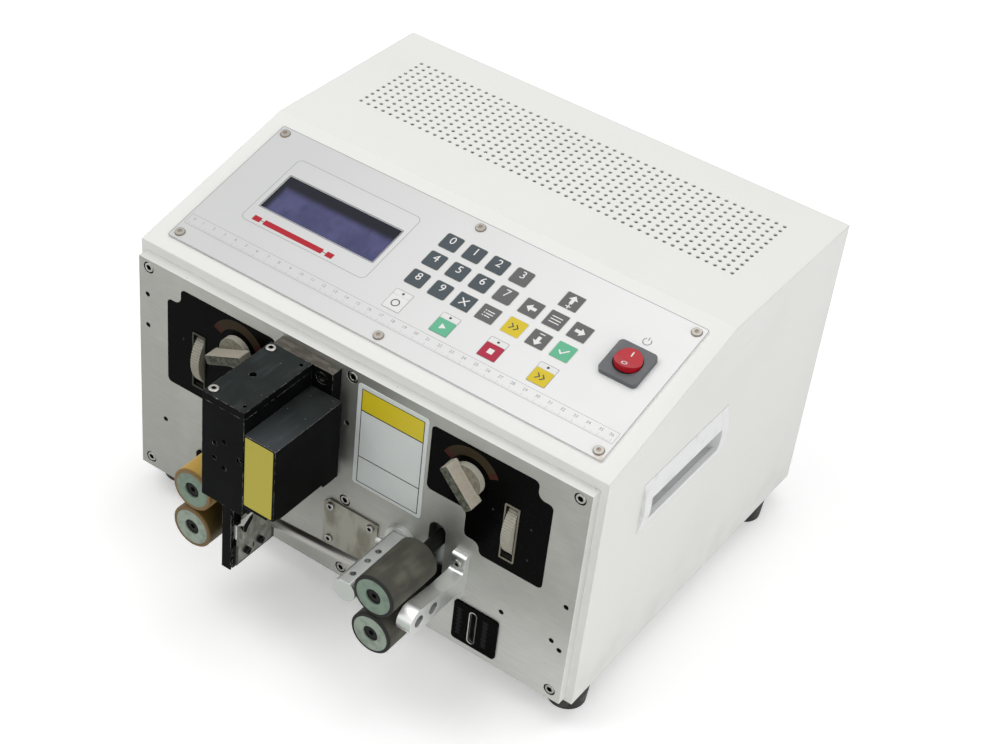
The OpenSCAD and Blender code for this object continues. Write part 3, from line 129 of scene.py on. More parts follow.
def round_box(w, h, r, n=5):
    """A rectangle about its middle whose corners are quarter circles, n points to each, anticlockwise."""
    a = np.linspace(0, np.pi / 2, n)
    out = []
    for k, (sx, sy) in enumerate(((1, 1), (-1, 1), (-1, -1), (1, -1))):
        t = a + k * np.pi / 2
        out.append(np.stack([sx * (w / 2 - r) + r * np.cos(t), sy * (h / 2 - r) + r * np.sin(t)], -1))
    return np.concatenate(out)


def circle(d, n=24):
    """n points evenly round a circle of diameter d."""
    t = np.linspace(0, 2 * np.pi, n, endpoint=False)
    return np.stack([np.cos(t), np.sin(t)], -1) * d / 2


def bar(x0, y0, x1, y1):
    """The four corners of an upright rectangle, anticlockwise."""
    return np.array([[x0, y0], [x1, y0], [x1, y1], [x0, y1]])


def walls(rings, n):
    """Faces between rings of n points: point k, the next one, and the two above them."""
    k, j = np.meshgrid(np.arange(n), np.arange(rings - 1))
    a, b = (j * n + k).ravel(), (j * n + (k + 1) % n).ravel()
    return np.stack([a, b, b + n, a + n], -1).tolist()


def pad(outline, place, x, y, height, rounding, base=0.0):
    """A flat pad: the outline at its base, at its full height less the rounding, and drawn in by the
    rounding on top, with its top closed by one face."""
    span = np.abs(outline).max(0)
    top, n = base + height, len(outline)
    rows = ((0.0, base), (0.0, top - rounding), (0.3 * rounding, top - 0.3 * rounding), (rounding, top))
    rings = [(outline * (1 - inset / span), h) for inset, h in rows]
    pts = np.concatenate([place(x + o[:, 0], y + o[:, 1], h) for o, h in rings])
    return pts, walls(len(rows), n) + [list(range((len(rows) - 1) * n, len(rows) * n))]


def flat(outline, place, x, y, h):
    """One face with the outline's shape, lying at height h."""
    return place(x + outline[:, 0], y + outline[:, 1], h), [list(range(len(outline)))]


def band(outline, inner, place, x, y, h):
    """A flat frame between an outline and the like outline inside it."""
    pts = np.concatenate([place(x + o[:, 0], y + o[:, 1], h) for o in (outline, inner)])
    return pts, walls(2, len(outline))


def rim(outline, inner, place, x, y, height, base=0.0):
    """A raised frame: outer wall, flat top and inner wall between an outline and the like one inside it."""
    rings = ((outline, base), (outline, base + height), (inner, base + height), (inner, base))
    pts = np.concatenate([place(x + o[:, 0], y + o[:, 1], h) for o, h in rings])
    return pts, walls(len(rings), len(outline))


def arc_band(start, stop, outer, inner, n, place, x, y, h):
    """A flat band out along an arc from start to stop degrees and back along a narrower one, with n points
    on each."""
    a = np.radians(np.linspace(start, stop, n))
    arc = np.stack([np.cos(a), np.sin(a)], -1)
    pts = np.concatenate([arc * outer, arc[::-1] * inner])
    k = np.arange(n - 1)
    faces = np.stack([k, k + 1, 2 * n - 2 - k, 2 * n - 1 - k], -1).tolist()
    return place(x + pts[:, 0], y + pts[:, 1], h), faces


def turned(profile, place, x, y, n=28):
    """A profile of (radius, height) pairs turned about x and y, each point x + r cos t, y + r sin t, h,
    with its last ring closed by one face."""
    t = np.linspace(0, 2 * np.pi, n, endpoint=False)
    r, h = np.asarray(profile, float).T
    pts = place(x + np.outer(r, np.cos(t)).ravel(), y + np.outer(r, np.sin(t)).ravel(), np.repeat(h, n))
    return pts, walls(len(r), n) + [list(range((len(r) - 1) * n, len(r) * n))]


def numeral(text, size, place, x, y, h):
    """Plain numbers as flat faces, from the built-in letter shapes, centred on x and y."""
    curve = bpy.data.curves.new("numeral", "FONT")
    curve.body, curve.size, curve.align_x, curve.align_y = text, size, "CENTER", "CENTER"
    curve.resolution_u = 3
    o = bpy.data.objects.new("numeral", curve)
    bpy.context.scene.collection.objects.link(o)
    mesh = bpy.data.meshes.new_from_object(o.evaluated_get(bpy.context.evaluated_depsgraph_get()))
    co = np.empty(len(mesh.vertices) * 3)
    mesh.vertices.foreach_get("co", co)
    co = co.reshape(-1, 3)
    faces = [list(p.vertices) for p in mesh.polygons]
    bpy.data.objects.remove(o)
    bpy.data.curves.remove(curve)
    bpy.data.meshes.remove(mesh)
    return place(x + co[:, 0], y + co[:, 1], h), faces


# Finishes

class Field:
    """A value on its way through the nodes. Sums, products and comparisons add Math nodes."""

    def __init__(self, owner, socket):
        self.owner, self.socket = owner, socket

    def math(self, operation, *others):
        """A Math node of this value and the others."""
        return self.owner.node("ShaderNodeMath", {"operation": operation}, [self, *others])

    def __add__(self, o): return self.math("ADD", o)
    def __mul__(self, o): return self.math("MULTIPLY", o)
    def __sub__(self, o): return self.math("SUBTRACT", o)
    def __truediv__(self, o): return self.math("DIVIDE", o)
    def __pow__(self, o): return self.math("POWER", o)
    def __neg__(self): return self * -1.0
    def __rsub__(self, o): return self.owner.node("ShaderNodeMath", {"operation": "SUBTRACT"}, [o, self])
    def __rtruediv__(self, o): return self.owner.node("ShaderNodeMath", {"operation": "DIVIDE"}, [o, self])
    __radd__ = __add__
    __rmul__ = __mul__

    def abs(self): return self.math("ABSOLUTE")
    def least(self, o): return self.math("MINIMUM", o)
    def most(self, o): return self.math("MAXIMUM", o)
    def above(self, o): return self.math("GREATER_THAN", o)
    def below(self, o): return self.math("LESS_THAN", o)
    def between(self, lo, hi): return self.above(lo) * self.below(hi)

    def ramp(self, lo, hi):
        """0 below lo, 1 above hi, smooth between them."""
        return self.owner.node("ShaderNodeMapRange", {"interpolation_type": "SMOOTHSTEP", "clamp": True},
                               {"Value": self, "From Min": lo, "From Max": hi})


class Nodes:
    """A node tree and the one way to add to it."""

    def __init__(self, tree):
        self.tree = tree

    def node(self, kind, settings, inputs, output=0):
        """Any node: its settings first, then the values or links of its sockets."""
        n = self.tree.nodes.new(kind)
        for k, v in settings.items():
            setattr(n, k, v)
        for k, v in (inputs.items() if isinstance(inputs, dict) else enumerate(inputs)):
            if isinstance(v, Field):
                self.tree.links.new(v.socket, n.inputs[k])
            else:
                n.inputs[k].default_value = v
        return Field(self, n.outputs[output])

    def seen(self):
        """1 for camera, mirror and glass rays, 0 for the others."""
        rays = ("Is Camera Ray", "Is Glossy Ray", "Is Transmission Ray")
        camera_ray, mirror_ray, glass_ray = (self.node("ShaderNodeLightPath", {}, {}, r) for r in rays)
        return camera_ray.most(mirror_ray).most(glass_ray)


class Finish(Nodes):
    """A procedural material of this machine, in millimetres of its own place."""

    def __init__(self, name):
        self.material = bpy.data.materials.new(name)
        self.material.use_nodes = True
        super().__init__(self.material.node_tree)
        self.shader = next(n for n in self.tree.nodes if n.type == "BSDF_PRINCIPLED")
        here = self.node("ShaderNodeTexCoord", {}, {}, "Object")
        self.here = self.node("ShaderNodeVectorMath", {"operation": "SCALE"},
                              {"Vector": here, "Scale": 1000.0})
        self.x, y, z = self.split(self.here)
        self.y = y - LIP_Y
        self.z = z - CASE_Z

    def split(self, vector):
        """The three numbers of a vector."""
        first = self.node("ShaderNodeSeparateXYZ", {}, [vector])
        return [Field(self, s) for s in first.socket.node.outputs]

    def noise(self, size, stretch=(1, 1, 1), detail=3.0, shift=0.0):
        """Cloudy pattern about size millimetres across, drawn out along each axis by stretch."""
        v = self.node("ShaderNodeMapping", {}, {
            "Vector": self.here, "Location": (shift, shift * 1.7, shift * 0.6),
            "Scale": tuple(1 / (size * k) for k in stretch)})
        return self.node("ShaderNodeTexNoise", {}, {"Vector": v, "Scale": 1.0, "Detail": detail})

    def cells(self, size, shift=0.0):
        """Distance to the nearest of scattered spots about size millimetres apart."""
        v = self.node("ShaderNodeMapping", {}, {
            "Vector": self.here, "Location": (shift,) * 3, "Scale": (1 / size,) * 3})
        return self.node("ShaderNodeTexVoronoi", {}, {"Vector": v, "Scale": 1.0}, "Distance")

    def colour(self, c):
        """Three numbers as a colour socket's four, and anything else as it is."""
        return (*c, 1.0) if isinstance(c, tuple) else c

    def blend(self, share, a, b):
        """Colour a, going to colour b as the share goes to 1."""
        inputs = {0: share, 6: self.colour(a), 7: self.colour(b)}
        return self.node("ShaderNodeMix", {"data_type": "RGBA"}, inputs, 2)

    def true_normal(self):
        """The normal of the face itself."""
        return self.node("ShaderNodeNewGeometry", {}, {}, "Normal")

    def facing(self, axis):
        """How far the face looks along axis 0, 1 or 2, from -1 to 1."""
        return self.split(self.true_normal())[axis]

    def soft_edges(self, width):
        """The normal, rounded over width at every edge."""
        return self.node("ShaderNodeBevel", {"samples": 6}, {"Radius": width / 1000})

    def edges(self, width):
        """Rises on edges that stand out: 1 less the dot product of the softened normal and the true one."""
        inputs = {0: self.soft_edges(width), 1: self.true_normal()}
        return 1.0 - self.node("ShaderNodeVectorMath", {"operation": "DOT_PRODUCT"}, inputs, "Value")

    def bump(self, height, depth, normal):
        """The normal tilted by a height pattern that is depth millimetres deep."""
        inputs = {"Height": height, "Distance": depth / 1000, "Strength": 1.0, "Normal": normal}
        return self.node("ShaderNodeBump", {}, inputs)

    def wear_it(self, **sockets):
        """Sets the shader's sockets and gives the material."""
        for k, v in sockets.items():
            k = k.replace("_", " ")
            if isinstance(v, Field):
                self.tree.links.new(v.socket, self.shader.inputs[k])
            else:
                self.shader.inputs[k].default_value = self.colour(v)
        return self.material


def paint_white():
    """Warm white powder coat: fine orange peel, faint dust in broad clouds, greyer along its lower edge,
    with a few faint scratches along its sides and small specks."""
    f = Finish("case_paint")
    cloud = f.noise(90, detail=4)
    peel = f.noise(0.9, detail=2)
    dust = cloud.ramp(0.45, 0.8)
    base = f.blend(dust * 0.35, (0.80, 0.80, 0.775), (0.74, 0.735, 0.70))
    low = (1.0 - f.z.ramp(0.0, 60.0)) * f.noise(25, detail=4).ramp(0.4, 0.7)
    base = f.blend(low * 0.3, base, (0.62, 0.62, 0.58))
    sides = f.facing(0).abs().above(0.8)
    scratch = f.noise(2.2, (1, 22, 1), detail=2, shift=4.0).ramp(0.70, 0.76) * sides
    specks = (1.0 - f.cells(34, 2.0).ramp(0.010, 0.022)) * f.noise(60, detail=2, shift=1.0).ramp(0.5, 0.6)
    base = f.blend(scratch * 0.12 + specks * 0.5, base, (0.50, 0.49, 0.45))
    return f.wear_it(Base_Color=base, Roughness=0.42 + 0.12 * cloud, Specular_IOR_Level=0.4,
                     Normal=f.bump(peel, 0.03, f.soft_edges(1.2)))


def brushed_plate():
    """Matt rolled aluminium with a fine grain along x, soft smudges and greasy specks, a painted highlight
    low on its right and on its edge faces, and painted shade in its openings."""
    f = Finish("plate_aluminium")
    grain = f.noise(0.35, (60, 1, 1), detail=3)
    smudge = f.noise(35, detail=4)
    greasy = f.noise(20, detail=3).ramp(0.5, 0.6)
    specks = 1.0 - f.cells(9, 3.0).ramp(0.03, 0.09)
    # inside: faces behind the plate's front face, the walls of its openings, painted dark as shade.
    inside = f.y.above(PLATE_Y + 0.25) * f.x.abs().below(PLATE_X) * f.z.between(PLATE_LOW, PLATE_TOP)
    # A painted highlight, paler low on the plate's right.
    low_right_light = (1.0 - f.z.ramp(10.0, 105.0)) * f.x.ramp(-60.0, 110.0)
    # ends: the plate's edge faces, painted pale and less metallic as a highlight.
    ends = f.facing(0).abs().most(f.facing(2)).ramp(0.6, 0.9) * (1.0 - inside)
    base = f.blend(smudge.ramp(0.35, 0.75), (0.335, 0.34, 0.312), (0.39, 0.394, 0.365))
    base = f.blend(low_right_light * 0.75, base, (0.64, 0.645, 0.615))
    base = f.blend(grain.ramp(0.3, 0.7) * 0.25, base, (0.27, 0.27, 0.25))
    base = f.blend(ends * 0.6, base, (0.86, 0.86, 0.84))
    base = f.blend(specks * greasy * 0.5, base, (0.12, 0.11, 0.10))
    base = f.blend(inside * 0.9, base, (0.06, 0.058, 0.052))
    return f.wear_it(Base_Color=base, Metallic=1.0 - 0.4 * ends,
                     Roughness=0.42 + 0.15 * grain + 0.08 * smudge,
                     Normal=f.bump(grain, 0.006, f.soft_edges(0.5)))


def milled(name, tone, rough, edge, dull=0.0):
    """Machined metal: fine tool marks, brighter rubbed edges, faces to the front duller by a share, with
    greenish painted shade.
    """
    f = Finish(name)
    marks = f.noise(0.5, (1, 1, 12), detail=3)
    cloud = f.noise(14, detail=3)
    worn = f.edges(edge).ramp(0.05, 0.3)
    base = f.blend(cloud * 0.4, tone, tuple(0.8 * c for c in tone))
    base = f.blend(worn * 0.6, base, (0.80, 0.80, 0.79))
    # dull: the share of painted shade, greenish like a reflection, on faces that look to the front.
    if dull:
        base = f.blend((-f.facing(1)).ramp(0.85, 0.98) * dull, base, (0.30, 0.33, 0.30))
    return f.wear_it(Base_Color=base, Metallic=1.0, Roughness=rough + 0.12 * marks,
                     Normal=f.bump(marks, 0.01, f.soft_edges(edge)))


def bright_steel():
    """Bright steel: fine marks and polished edges. The access plate is smeared and brownish, with darker
    patches."""
    f = Finish("plain_steel")
    marks = f.noise(0.5, (1, 1, 12), detail=3)
    cloud = f.noise(14, detail=3)
    access_plate = f.x.abs().below(36.0) * f.y.between(-10.8, -8.0) * f.z.between(28.0, 76.0)
    patch = f.noise(11, (1, 1, 2), detail=5, shift=6.0).ramp(0.40, 0.66)
    smear = f.blend(patch, (0.31, 0.305, 0.26), (0.195, 0.187, 0.15))
    base = f.blend(cloud * 0.4, (0.36, 0.356, 0.335), (0.265, 0.26, 0.24))
    base = f.blend(access_plate, base, smear)
    base = f.blend(f.edges(0.3).ramp(0.05, 0.3) * 0.6, base, (0.80, 0.80, 0.79))
    return f.wear_it(Base_Color=base, Metallic=1.0, Roughness=0.28 + 0.12 * marks + 0.14 * access_plate,
                     Normal=f.bump(marks, 0.01, f.soft_edges(0.3)))


def blade_steel():
    """Ground blade steel, greenish grey and mottled, with a dark border of painted shade at the lower
    blade's foot, back and front. The blades' polished front ends carry a painted highlight above the step
    and painted shade below it."""
    f = Finish("blade_steel")
    foot, back, front, end, low_corner, step = 46.4, -44.6, -81.6, -82.0, 64.0, 71.0
    marks = f.noise(0.5, (1, 1, 4), detail=3)
    cloud = f.noise(7, detail=5, shift=2.0).ramp(0.35, 0.7)
    base = f.blend(cloud, (0.20, 0.205, 0.175), (0.36, 0.365, 0.325))
    lower = f.x.below(LOWER_BLADE_X + 0.1)
    # border: painted shade along the lower blade's foot, back and low front, where it meets the parts round
    # it.
    border = (1.0 - f.z.ramp(foot, foot + 1.6)).most(f.y.ramp(back - 1.6, back) * lower)
    border = border.most((1.0 - f.y.ramp(front, front + 1.4)) * f.z.below(low_corner) * lower)
    front_end = (-f.facing(1)).above(0.8) * f.y.below(end)
    base = f.blend(border * 0.94, base, (0.010, 0.010, 0.009))
    # The front ends: painted shade below the step, a painted highlight above it.
    base = f.blend(front_end * f.z.below(step), base, (0.008, 0.008, 0.007))
    base = f.blend(front_end * f.z.above(step), base, (0.90, 0.90, 0.88))
    return f.wear_it(Base_Color=base, Metallic=1.0 - border * 0.8, Roughness=0.34 + 0.12 * marks,
                     Normal=f.bump(marks, 0.01, f.soft_edges(0.3)))


def knob_plastic():
    """Greige moulding: fine grain, grime in clouds. The knobs' faces to the front get painted shade, dark
    and greenish, most of all the grips' outer faces. The grips' sides are warmer and edges get a painted
    highlight."""
    f = Finish("greige_plastic")
    knobs_end, grip_root, grip_face = 122.0, -15.5, -23.5
    fine = f.noise(0.5, detail=2)
    cloud = f.noise(7, detail=4)
    grime = f.noise(2.6, detail=5, shift=5.0).ramp(0.38, 0.68)
    knob = f.x.abs().below(knobs_end)
    # front: the knobs' faces to the front, which get painted shade.
    front = (-f.facing(1)).ramp(0.7, 0.95) * knob
    side = (1.0 - (-f.facing(1)).ramp(0.3, 0.7)) * knob * f.y.below(grip_root)
    base = f.blend(cloud.ramp(0.45, 0.8) * 0.35, (0.43, 0.41, 0.345), (0.30, 0.27, 0.21))
    base = f.blend(side * (0.25 + 0.4 * grime), base, (0.37, 0.315, 0.245))
    # Painted shade, dark and greenish, on the faces to the front, deepest on the grips' outer faces.
    base = f.blend(front * (0.50 + 0.25 * grime), base, (0.115, 0.11, 0.065))
    base = f.blend(front * f.y.below(grip_face) * (0.65 + 0.3 * grime), base, (0.034, 0.044, 0.030))
    # Painted highlight along the knobs' edges.
    base = f.blend(f.edges(0.5).ramp(0.06, 0.3) * 0.6 * knob, base, (0.62, 0.60, 0.52))
    return f.wear_it(Base_Color=base, Roughness=0.52 + 0.1 * fine, Specular_IOR_Level=0.14,
                     Normal=f.bump(grime, 0.05, f.soft_edges(0.6)))


def black_oxide():
    """Blackened steel with a painted bluish sheen on its upward faces, rubbed bright along its edges and
    chipped in places. The safety cover's top has a paler painted sheen towards its front; the mount block's
    is worn to brownish metal."""
    f = Finish("black_oxide")
    cloud = f.noise(22, detail=4)
    fine = f.noise(1.2, detail=4)
    edge = f.edges(0.6)
    up = f.facing(2).ramp(0.4, 0.9)
    cover = f.x.above(COVER_LEFT) * f.z.between(COVER_TOP - 10.0, COVER_TOP) * f.y.below(-20.0)
    # pale: a painted sheen on the safety cover's top, paler towards its front.
    pale = up * f.x.above(COVER_LEFT) * (1.0 - f.y.ramp(COVER_FRONT, -40.0)) * f.z.below(COVER_TOP)
    block = f.y.between(-18.75, PLATE_Y + 0.1) * f.z.above(150.0) * up
    worn = edge.ramp(0.10, 0.34) * f.noise(6, detail=4).ramp(0.44, 0.60).most(cover * 0.75)
    chips = edge.ramp(0.02, 0.06) * (1.0 - f.cells(5.0, 1.7).ramp(0.10, 0.16))
    rub = f.noise(9, (1, 4, 1), detail=5).ramp(0.50, 0.78) * up
    specks = up * (1.0 - f.cells(7.0, 5.3).ramp(0.03, 0.06))
    rust = f.noise(4.5, (3, 1, 1), detail=5, shift=3.0).ramp(0.42, 0.62)
    base = f.blend(cloud.ramp(0.3, 0.8), (0.0018, 0.0022, 0.0019), (0.0042, 0.0048, 0.0046))
    # Painted sheen: upward faces lighter and bluish.
    base = f.blend(up * (0.4 + 0.3 * cloud.ramp(0.2, 0.8) + 0.3 * fine), base, (0.030, 0.035, 0.034))
    base = f.blend(pale * 0.7, base, (0.060, 0.067, 0.073))
    base = f.blend(rub * 0.30, base, (0.090, 0.10, 0.10))
    base = f.blend(specks * 0.7, base, (0.30, 0.30, 0.28))
    brown = f.blend(rust, (0.165, 0.15, 0.13), (0.095, 0.084, 0.070))
    base = f.blend(block * (0.6 + 0.4 * fine), base, brown)
    bare = worn.most(chips)
    base = f.blend(bare, base, (0.46, 0.45, 0.43))
    return f.wear_it(Base_Color=base, Metallic=(0.9 * bare).most(block * 0.5), Specular_IOR_Level=0.03,
                     Roughness=0.40 + 0.18 * fine - 0.10 * bare,
                     Normal=f.bump(fine, 0.012, f.soft_edges(0.5)))


def moulded(name, tone, rough, grain=0.02):
    """Moulded plastic: fine spark-eroded grain, slight grime in clouds."""
    f = Finish(name)
    fine = f.noise(0.5, detail=2)
    cloud = f.noise(12, detail=4)
    base = f.blend(cloud.ramp(0.5, 0.8) * 0.25, tone, (0.30, 0.27, 0.21))
    return f.wear_it(Base_Color=base, Roughness=rough + 0.1 * fine,
                     Normal=f.bump(fine, grain, f.soft_edges(0.6)))


def tyre(name, tone, worn_tone, face_tone, rough):
    """Tyre of a feed roller: rubbed bands where the two wires run, fine pits, another tone at its face."""
    f = Finish(name)
    front_wire, rear_wire, half_band, face = -64.7, -48.6, 9, -77.6
    cloud = f.noise(9, (1, 3, 1), detail=4)
    fine = f.noise(0.7, detail=3)
    band_a = ((f.y - front_wire) / half_band).abs()
    band_b = ((f.y - rear_wire) / half_band).abs()
    run = 1.0 - band_a.least(band_b).ramp(0.3, 1.1)
    base = f.blend((run * 0.6 + 0.4) * cloud.ramp(0.35, 0.75) * 0.8, tone, worn_tone)
    base = f.blend(1.0 - f.y.ramp(face - 2.0, face), base, face_tone)
    return f.wear_it(Base_Color=base, Roughness=rough + 0.15 * cloud, Specular_IOR_Level=0.3,
                     Normal=f.bump(fine, 0.03, f.soft_edges(0.4)))


def hub_plastic():
    """Pale green hub: handled darker in patches, the lower pair paler and greyer."""
    f = Finish("hub_green")
    nip_z = 72.8
    fine = f.noise(0.5, detail=2)
    grime = f.noise(6, detail=5, shift=7.0).ramp(0.40, 0.68)
    base = f.blend(f.z.below(nip_z), (0.19, 0.27, 0.205), (0.30, 0.36, 0.295))
    base = f.blend(grime * 0.55, base, (0.115, 0.155, 0.115))
    return f.wear_it(Base_Color=base, Roughness=0.45 + 0.1 * fine, Specular_IOR_Level=0.35,
                     Normal=f.bump(fine, 0.01, f.soft_edges(0.5)))


def gloss(name, tone, rough, coat=0.0, specular=0.5):
    """Smooth gloss surface with a few faint fingerprints in its polish."""
    f = Finish(name)
    cloud = f.noise(18, detail=4)
    base = f.blend(cloud * 0.3, tone, tuple(min(1, c * 1.3 + 0.001) for c in tone))
    return f.wear_it(Base_Color=base, Roughness=rough + 0.12 * cloud, Coat_Weight=coat,
                     Specular_IOR_Level=specular, Normal=f.soft_edges(0.4))


def panel_film():
    """Printed film: cool white, greyer towards its left, faintly mottled, a rusty stain by its right front
    corner."""
    f = Finish("panel_film")
    stain_x, stain_y, film_end = 184.0, 10.0, 190.0
    cloud = f.noise(60, detail=4)
    fine = f.noise(0.6, detail=2)
    away = ((f.x - stain_x) * (f.x - stain_x) + (f.y - stain_y) * (f.y - stain_y)) ** 0.5
    stain = (1.0 - away.ramp(1.0, 9.0)) * f.noise(4, detail=4).ramp(0.35, 0.65)
    base = f.blend(1.0 - f.x.ramp(-film_end, film_end), (0.83, 0.83, 0.825), (0.605, 0.612, 0.606))
    base = f.blend(cloud.ramp(0.4, 0.8) * 0.2, base, (0.70, 0.70, 0.69))
    base = f.blend(stain * 0.5, base, (0.42, 0.27, 0.12))
    return f.wear_it(Base_Color=base, Roughness=0.42 + 0.1 * cloud, Specular_IOR_Level=0.25,
                     Normal=f.bump(fine, 0.01, f.soft_edges(0.6)))


def display_glass():
    """Display glass: dull violet blue, mottled, dark along its top and left where the recess shades it."""
    f = Finish("lcd_glass")
    glass_top, glass_left = 94.0, -144.5
    cloud = f.noise(16, detail=4)
    fine = f.noise(1.5, detail=3)
    streaks = f.noise(5, (1, 3, 1), detail=5, shift=9.0).ramp(0.5, 0.75)
    shade = f.y.ramp(glass_top - 7.0, glass_top).most(1.0 - f.x.ramp(glass_left, glass_left + 5.0))
    base = f.blend(cloud.ramp(0.3, 0.7), (0.052, 0.055, 0.135), (0.080, 0.083, 0.190))
    base = f.blend(fine * 0.25, base, (0.10, 0.10, 0.20))
    base = f.blend(streaks * 0.35, base, (0.030, 0.032, 0.075))
    base = f.blend(shade * 0.95, base, (0.006, 0.007, 0.011))
    return f.wear_it(Base_Color=base, Roughness=0.16 + 0.08 * cloud, Coat_Weight=0.1,
                     Specular_IOR_Level=0.16, Normal=f.soft_edges(0.4))


def ink(name, tone, rough=0.45, specular=0.25):
    """Printed ink or paint, a little uneven."""
    f = Finish(name)
    cloud = f.noise(3, detail=3)
    base = f.blend(cloud * 0.35, tone, tuple(0.88 * c + 0.003 for c in tone))
    return f.wear_it(Base_Color=base, Roughness=rough + 0.08 * cloud, Specular_IOR_Level=specular)


FINISHES = {
    "case_paint": paint_white(),
    "plate_aluminium": brushed_plate(),
    # Machined aluminium, with painted shade at a share of 0.75 on its faces to the front.
    "machined_aluminium": milled("machined_aluminium", (0.84, 0.85, 0.84), 0.36, 0.4, 0.75),
    "plain_steel": bright_steel(),
    "dark_steel": gloss("dark_steel", (0.0075, 0.0075, 0.0070), 0.42, 0.0, 0.12),
    "black_oxide": black_oxide(),
    "blade_steel": blade_steel(),
    "black_panel": gloss("black_panel", (0.0010, 0.0012, 0.0010), 0.22, 0.0, 0.02),
    "rubber_black": moulded("rubber_black", (0.012, 0.012, 0.012), 0.62, 0.03),
    "rubber_grey": tyre("rubber_grey", (0.052, 0.051, 0.041), (0.135, 0.130, 0.100),
                        (0.008, 0.009, 0.008), 0.62),
    "urethane_amber": tyre("urethane_amber", (0.56, 0.355, 0.070), (0.49, 0.345, 0.105),
                           (0.20, 0.118, 0.034), 0.40),
    # This urethane is the amber one with painted shade: darker and browner.
    "urethane_brown": tyre("urethane_brown", (0.115, 0.078, 0.022), (0.070, 0.050, 0.016),
                           (0.15, 0.092, 0.028), 0.42),
    "hub_green": hub_plastic(),
    "greige_plastic": knob_plastic(),
    "handle_plastic": moulded("handle_plastic", (0.82, 0.825, 0.825), 0.30, 0.01),
    "panel_film": panel_film(),
    "lcd_glass": display_glass(),
    "bezel_grey": moulded("bezel_grey", (0.095, 0.10, 0.108), 0.38, 0.015),
    "rocker_red": gloss("rocker_red", (0.42, 0.004, 0.014), 0.16, 0.15, 0.25),
    "black_plastic": moulded("black_plastic", (0.012, 0.012, 0.013), 0.48),
    "board_green": gloss("board_green", (0.015, 0.16, 0.06), 0.35),
}

for row in frame["record"]["subparts"]:
    o = nodes[row["node"]]
    o.data.materials.clear()
    o.data.materials.append(FINISHES[row["material_slot"]])


# Camera, lamps and floor

def camera():
    """The photograph's camera: 72.1 mm on a 36 mm wide sensor, at the place fitted to the case's edges."""
    data = bpy.data.cameras.new("camera")
    data.lens, data.sensor_width, data.sensor_fit = 72.1, 36.0, "HORIZONTAL"
    data.clip_start, data.clip_end = 0.05, 20
    o = bpy.data.objects.new("camera", data)
    bpy.context.scene.collection.objects.link(o)
    place = Vector(at([617.82, -859.16, 1041.78]).tolist())
    right = Vector((0.81482, 0.57167, 0.09622)).normalized()
    back = -Vector((-0.39928, 0.67376, -0.62179)).normalized()
    up = back.cross(right).normalized()
    turn = Matrix((right, up, back)).transposed().to_4x4()
    o.matrix_world = Matrix.Translation(place) @ turn
    bpy.context.scene.camera = o


def lamp(name, place, target, size, power):
    """A square soft lamp at a place, facing a target."""
    data = bpy.data.lights.new(name, "AREA")
    data.shape, data.size, data.energy = "SQUARE", size, power
    o = bpy.data.objects.new(name, data)
    bpy.context.scene.collection.objects.link(o)
    o.location = place
    o.rotation_euler = (Vector(target) - Vector(place)).to_track_quat("-Z", "Y").to_euler()


def world_light(strength):
    """A plain grey sky that camera, mirror and glass rays see as white."""
    world = bpy.data.worlds.new("sky")
    bpy.context.scene.world = world
    world.use_nodes = True
    sky = Nodes(world.node_tree)
    background = next(n for n in sky.tree.nodes if n.type == "BACKGROUND")
    level = sky.node("ShaderNodeMix", {}, {0: sky.seen(), 2: strength, 3: 1.0})
    sky.tree.links.new(level.socket, background.inputs["Strength"])
    background.inputs["Color"].default_value = (1, 1, 1, 1)


def floor():
    """A wide flat sheet under the feet, which camera, mirror and glass rays see as white outside the
    shadow: its glow rises from near to far with the distance from the middle."""
    half, glow_near, glow_more = 6, 0.27, 0.6
    mesh = bpy.data.meshes.new("floor")
    mesh.from_pydata([(-half, -half, 0), (half, -half, 0), (half, half, 0), (-half, half, 0)],
                     [], [(0, 1, 2, 3)])
    f = Finish("floor_white")
    far = ((f.x * f.x + f.y * f.y) ** 0.5).ramp(400.0, 1300.0)
    glow = f.blend(f.seen() * (glow_near + glow_more * far), (0.0, 0.0, 0.0), (1.0, 1.0, 1.0))
    f.wear_it(Base_Color=(0.93, 0.93, 0.93), Roughness=0.9, Specular_IOR_Level=0.0,
              Emission_Color=glow, Emission_Strength=1.0)
    mesh.materials.append(f.material)
    o = bpy.data.objects.new("floor", mesh)
    bpy.context.scene.collection.objects.link(o)


camera()
world_light(0.38)
lamp("key", (-0.9, -0.7, 1.9), (0, 0, 0.1), 1.3, 15)
lamp("fill", (1.9, -0.8, 1.1), (0, 0, 0.1), 1.6, 16)
lamp("top", (0.2, 0.6, 2.2), (0, 0.05, 0.1), 1.6, 13.5)
floor()


# Control panel prints

INK_DARK = ink("ink_dark", (0.06, 0.06, 0.065))
INK_GREY = ink("ink_grey", (0.30, 0.30, 0.31))
INK_WHITE = ink("ink_white", (0.80, 0.80, 0.78))
INK_RED = ink("ink_red", (0.42, 0.012, 0.025))
INK_CREAM = ink("ink_cream", (0.62, 0.61, 0.54))
KEY_SLATE = ink("key_slate", (0.062, 0.080, 0.092), 0.4)
# The slate keys on the right with a painted sheen: greyer than the slate.
KEY_SLATE_SHEEN = ink("key_slate_sheen", (0.125, 0.122, 0.125), 0.4)
KEY_GREEN = ink("key_green", (0.13, 0.46, 0.28), 0.4)
KEY_RED = ink("key_red", (0.42, 0.02, 0.055), 0.4)
KEY_YELLOW = ink("key_yellow", (0.68, 0.52, 0.03), 0.4)
KEY_WHITE = ink("key_white", (0.78, 0.78, 0.77), 0.4)
CAP_TAN = milled("cap_tan", (0.23, 0.185, 0.145), 0.34, 0.3)

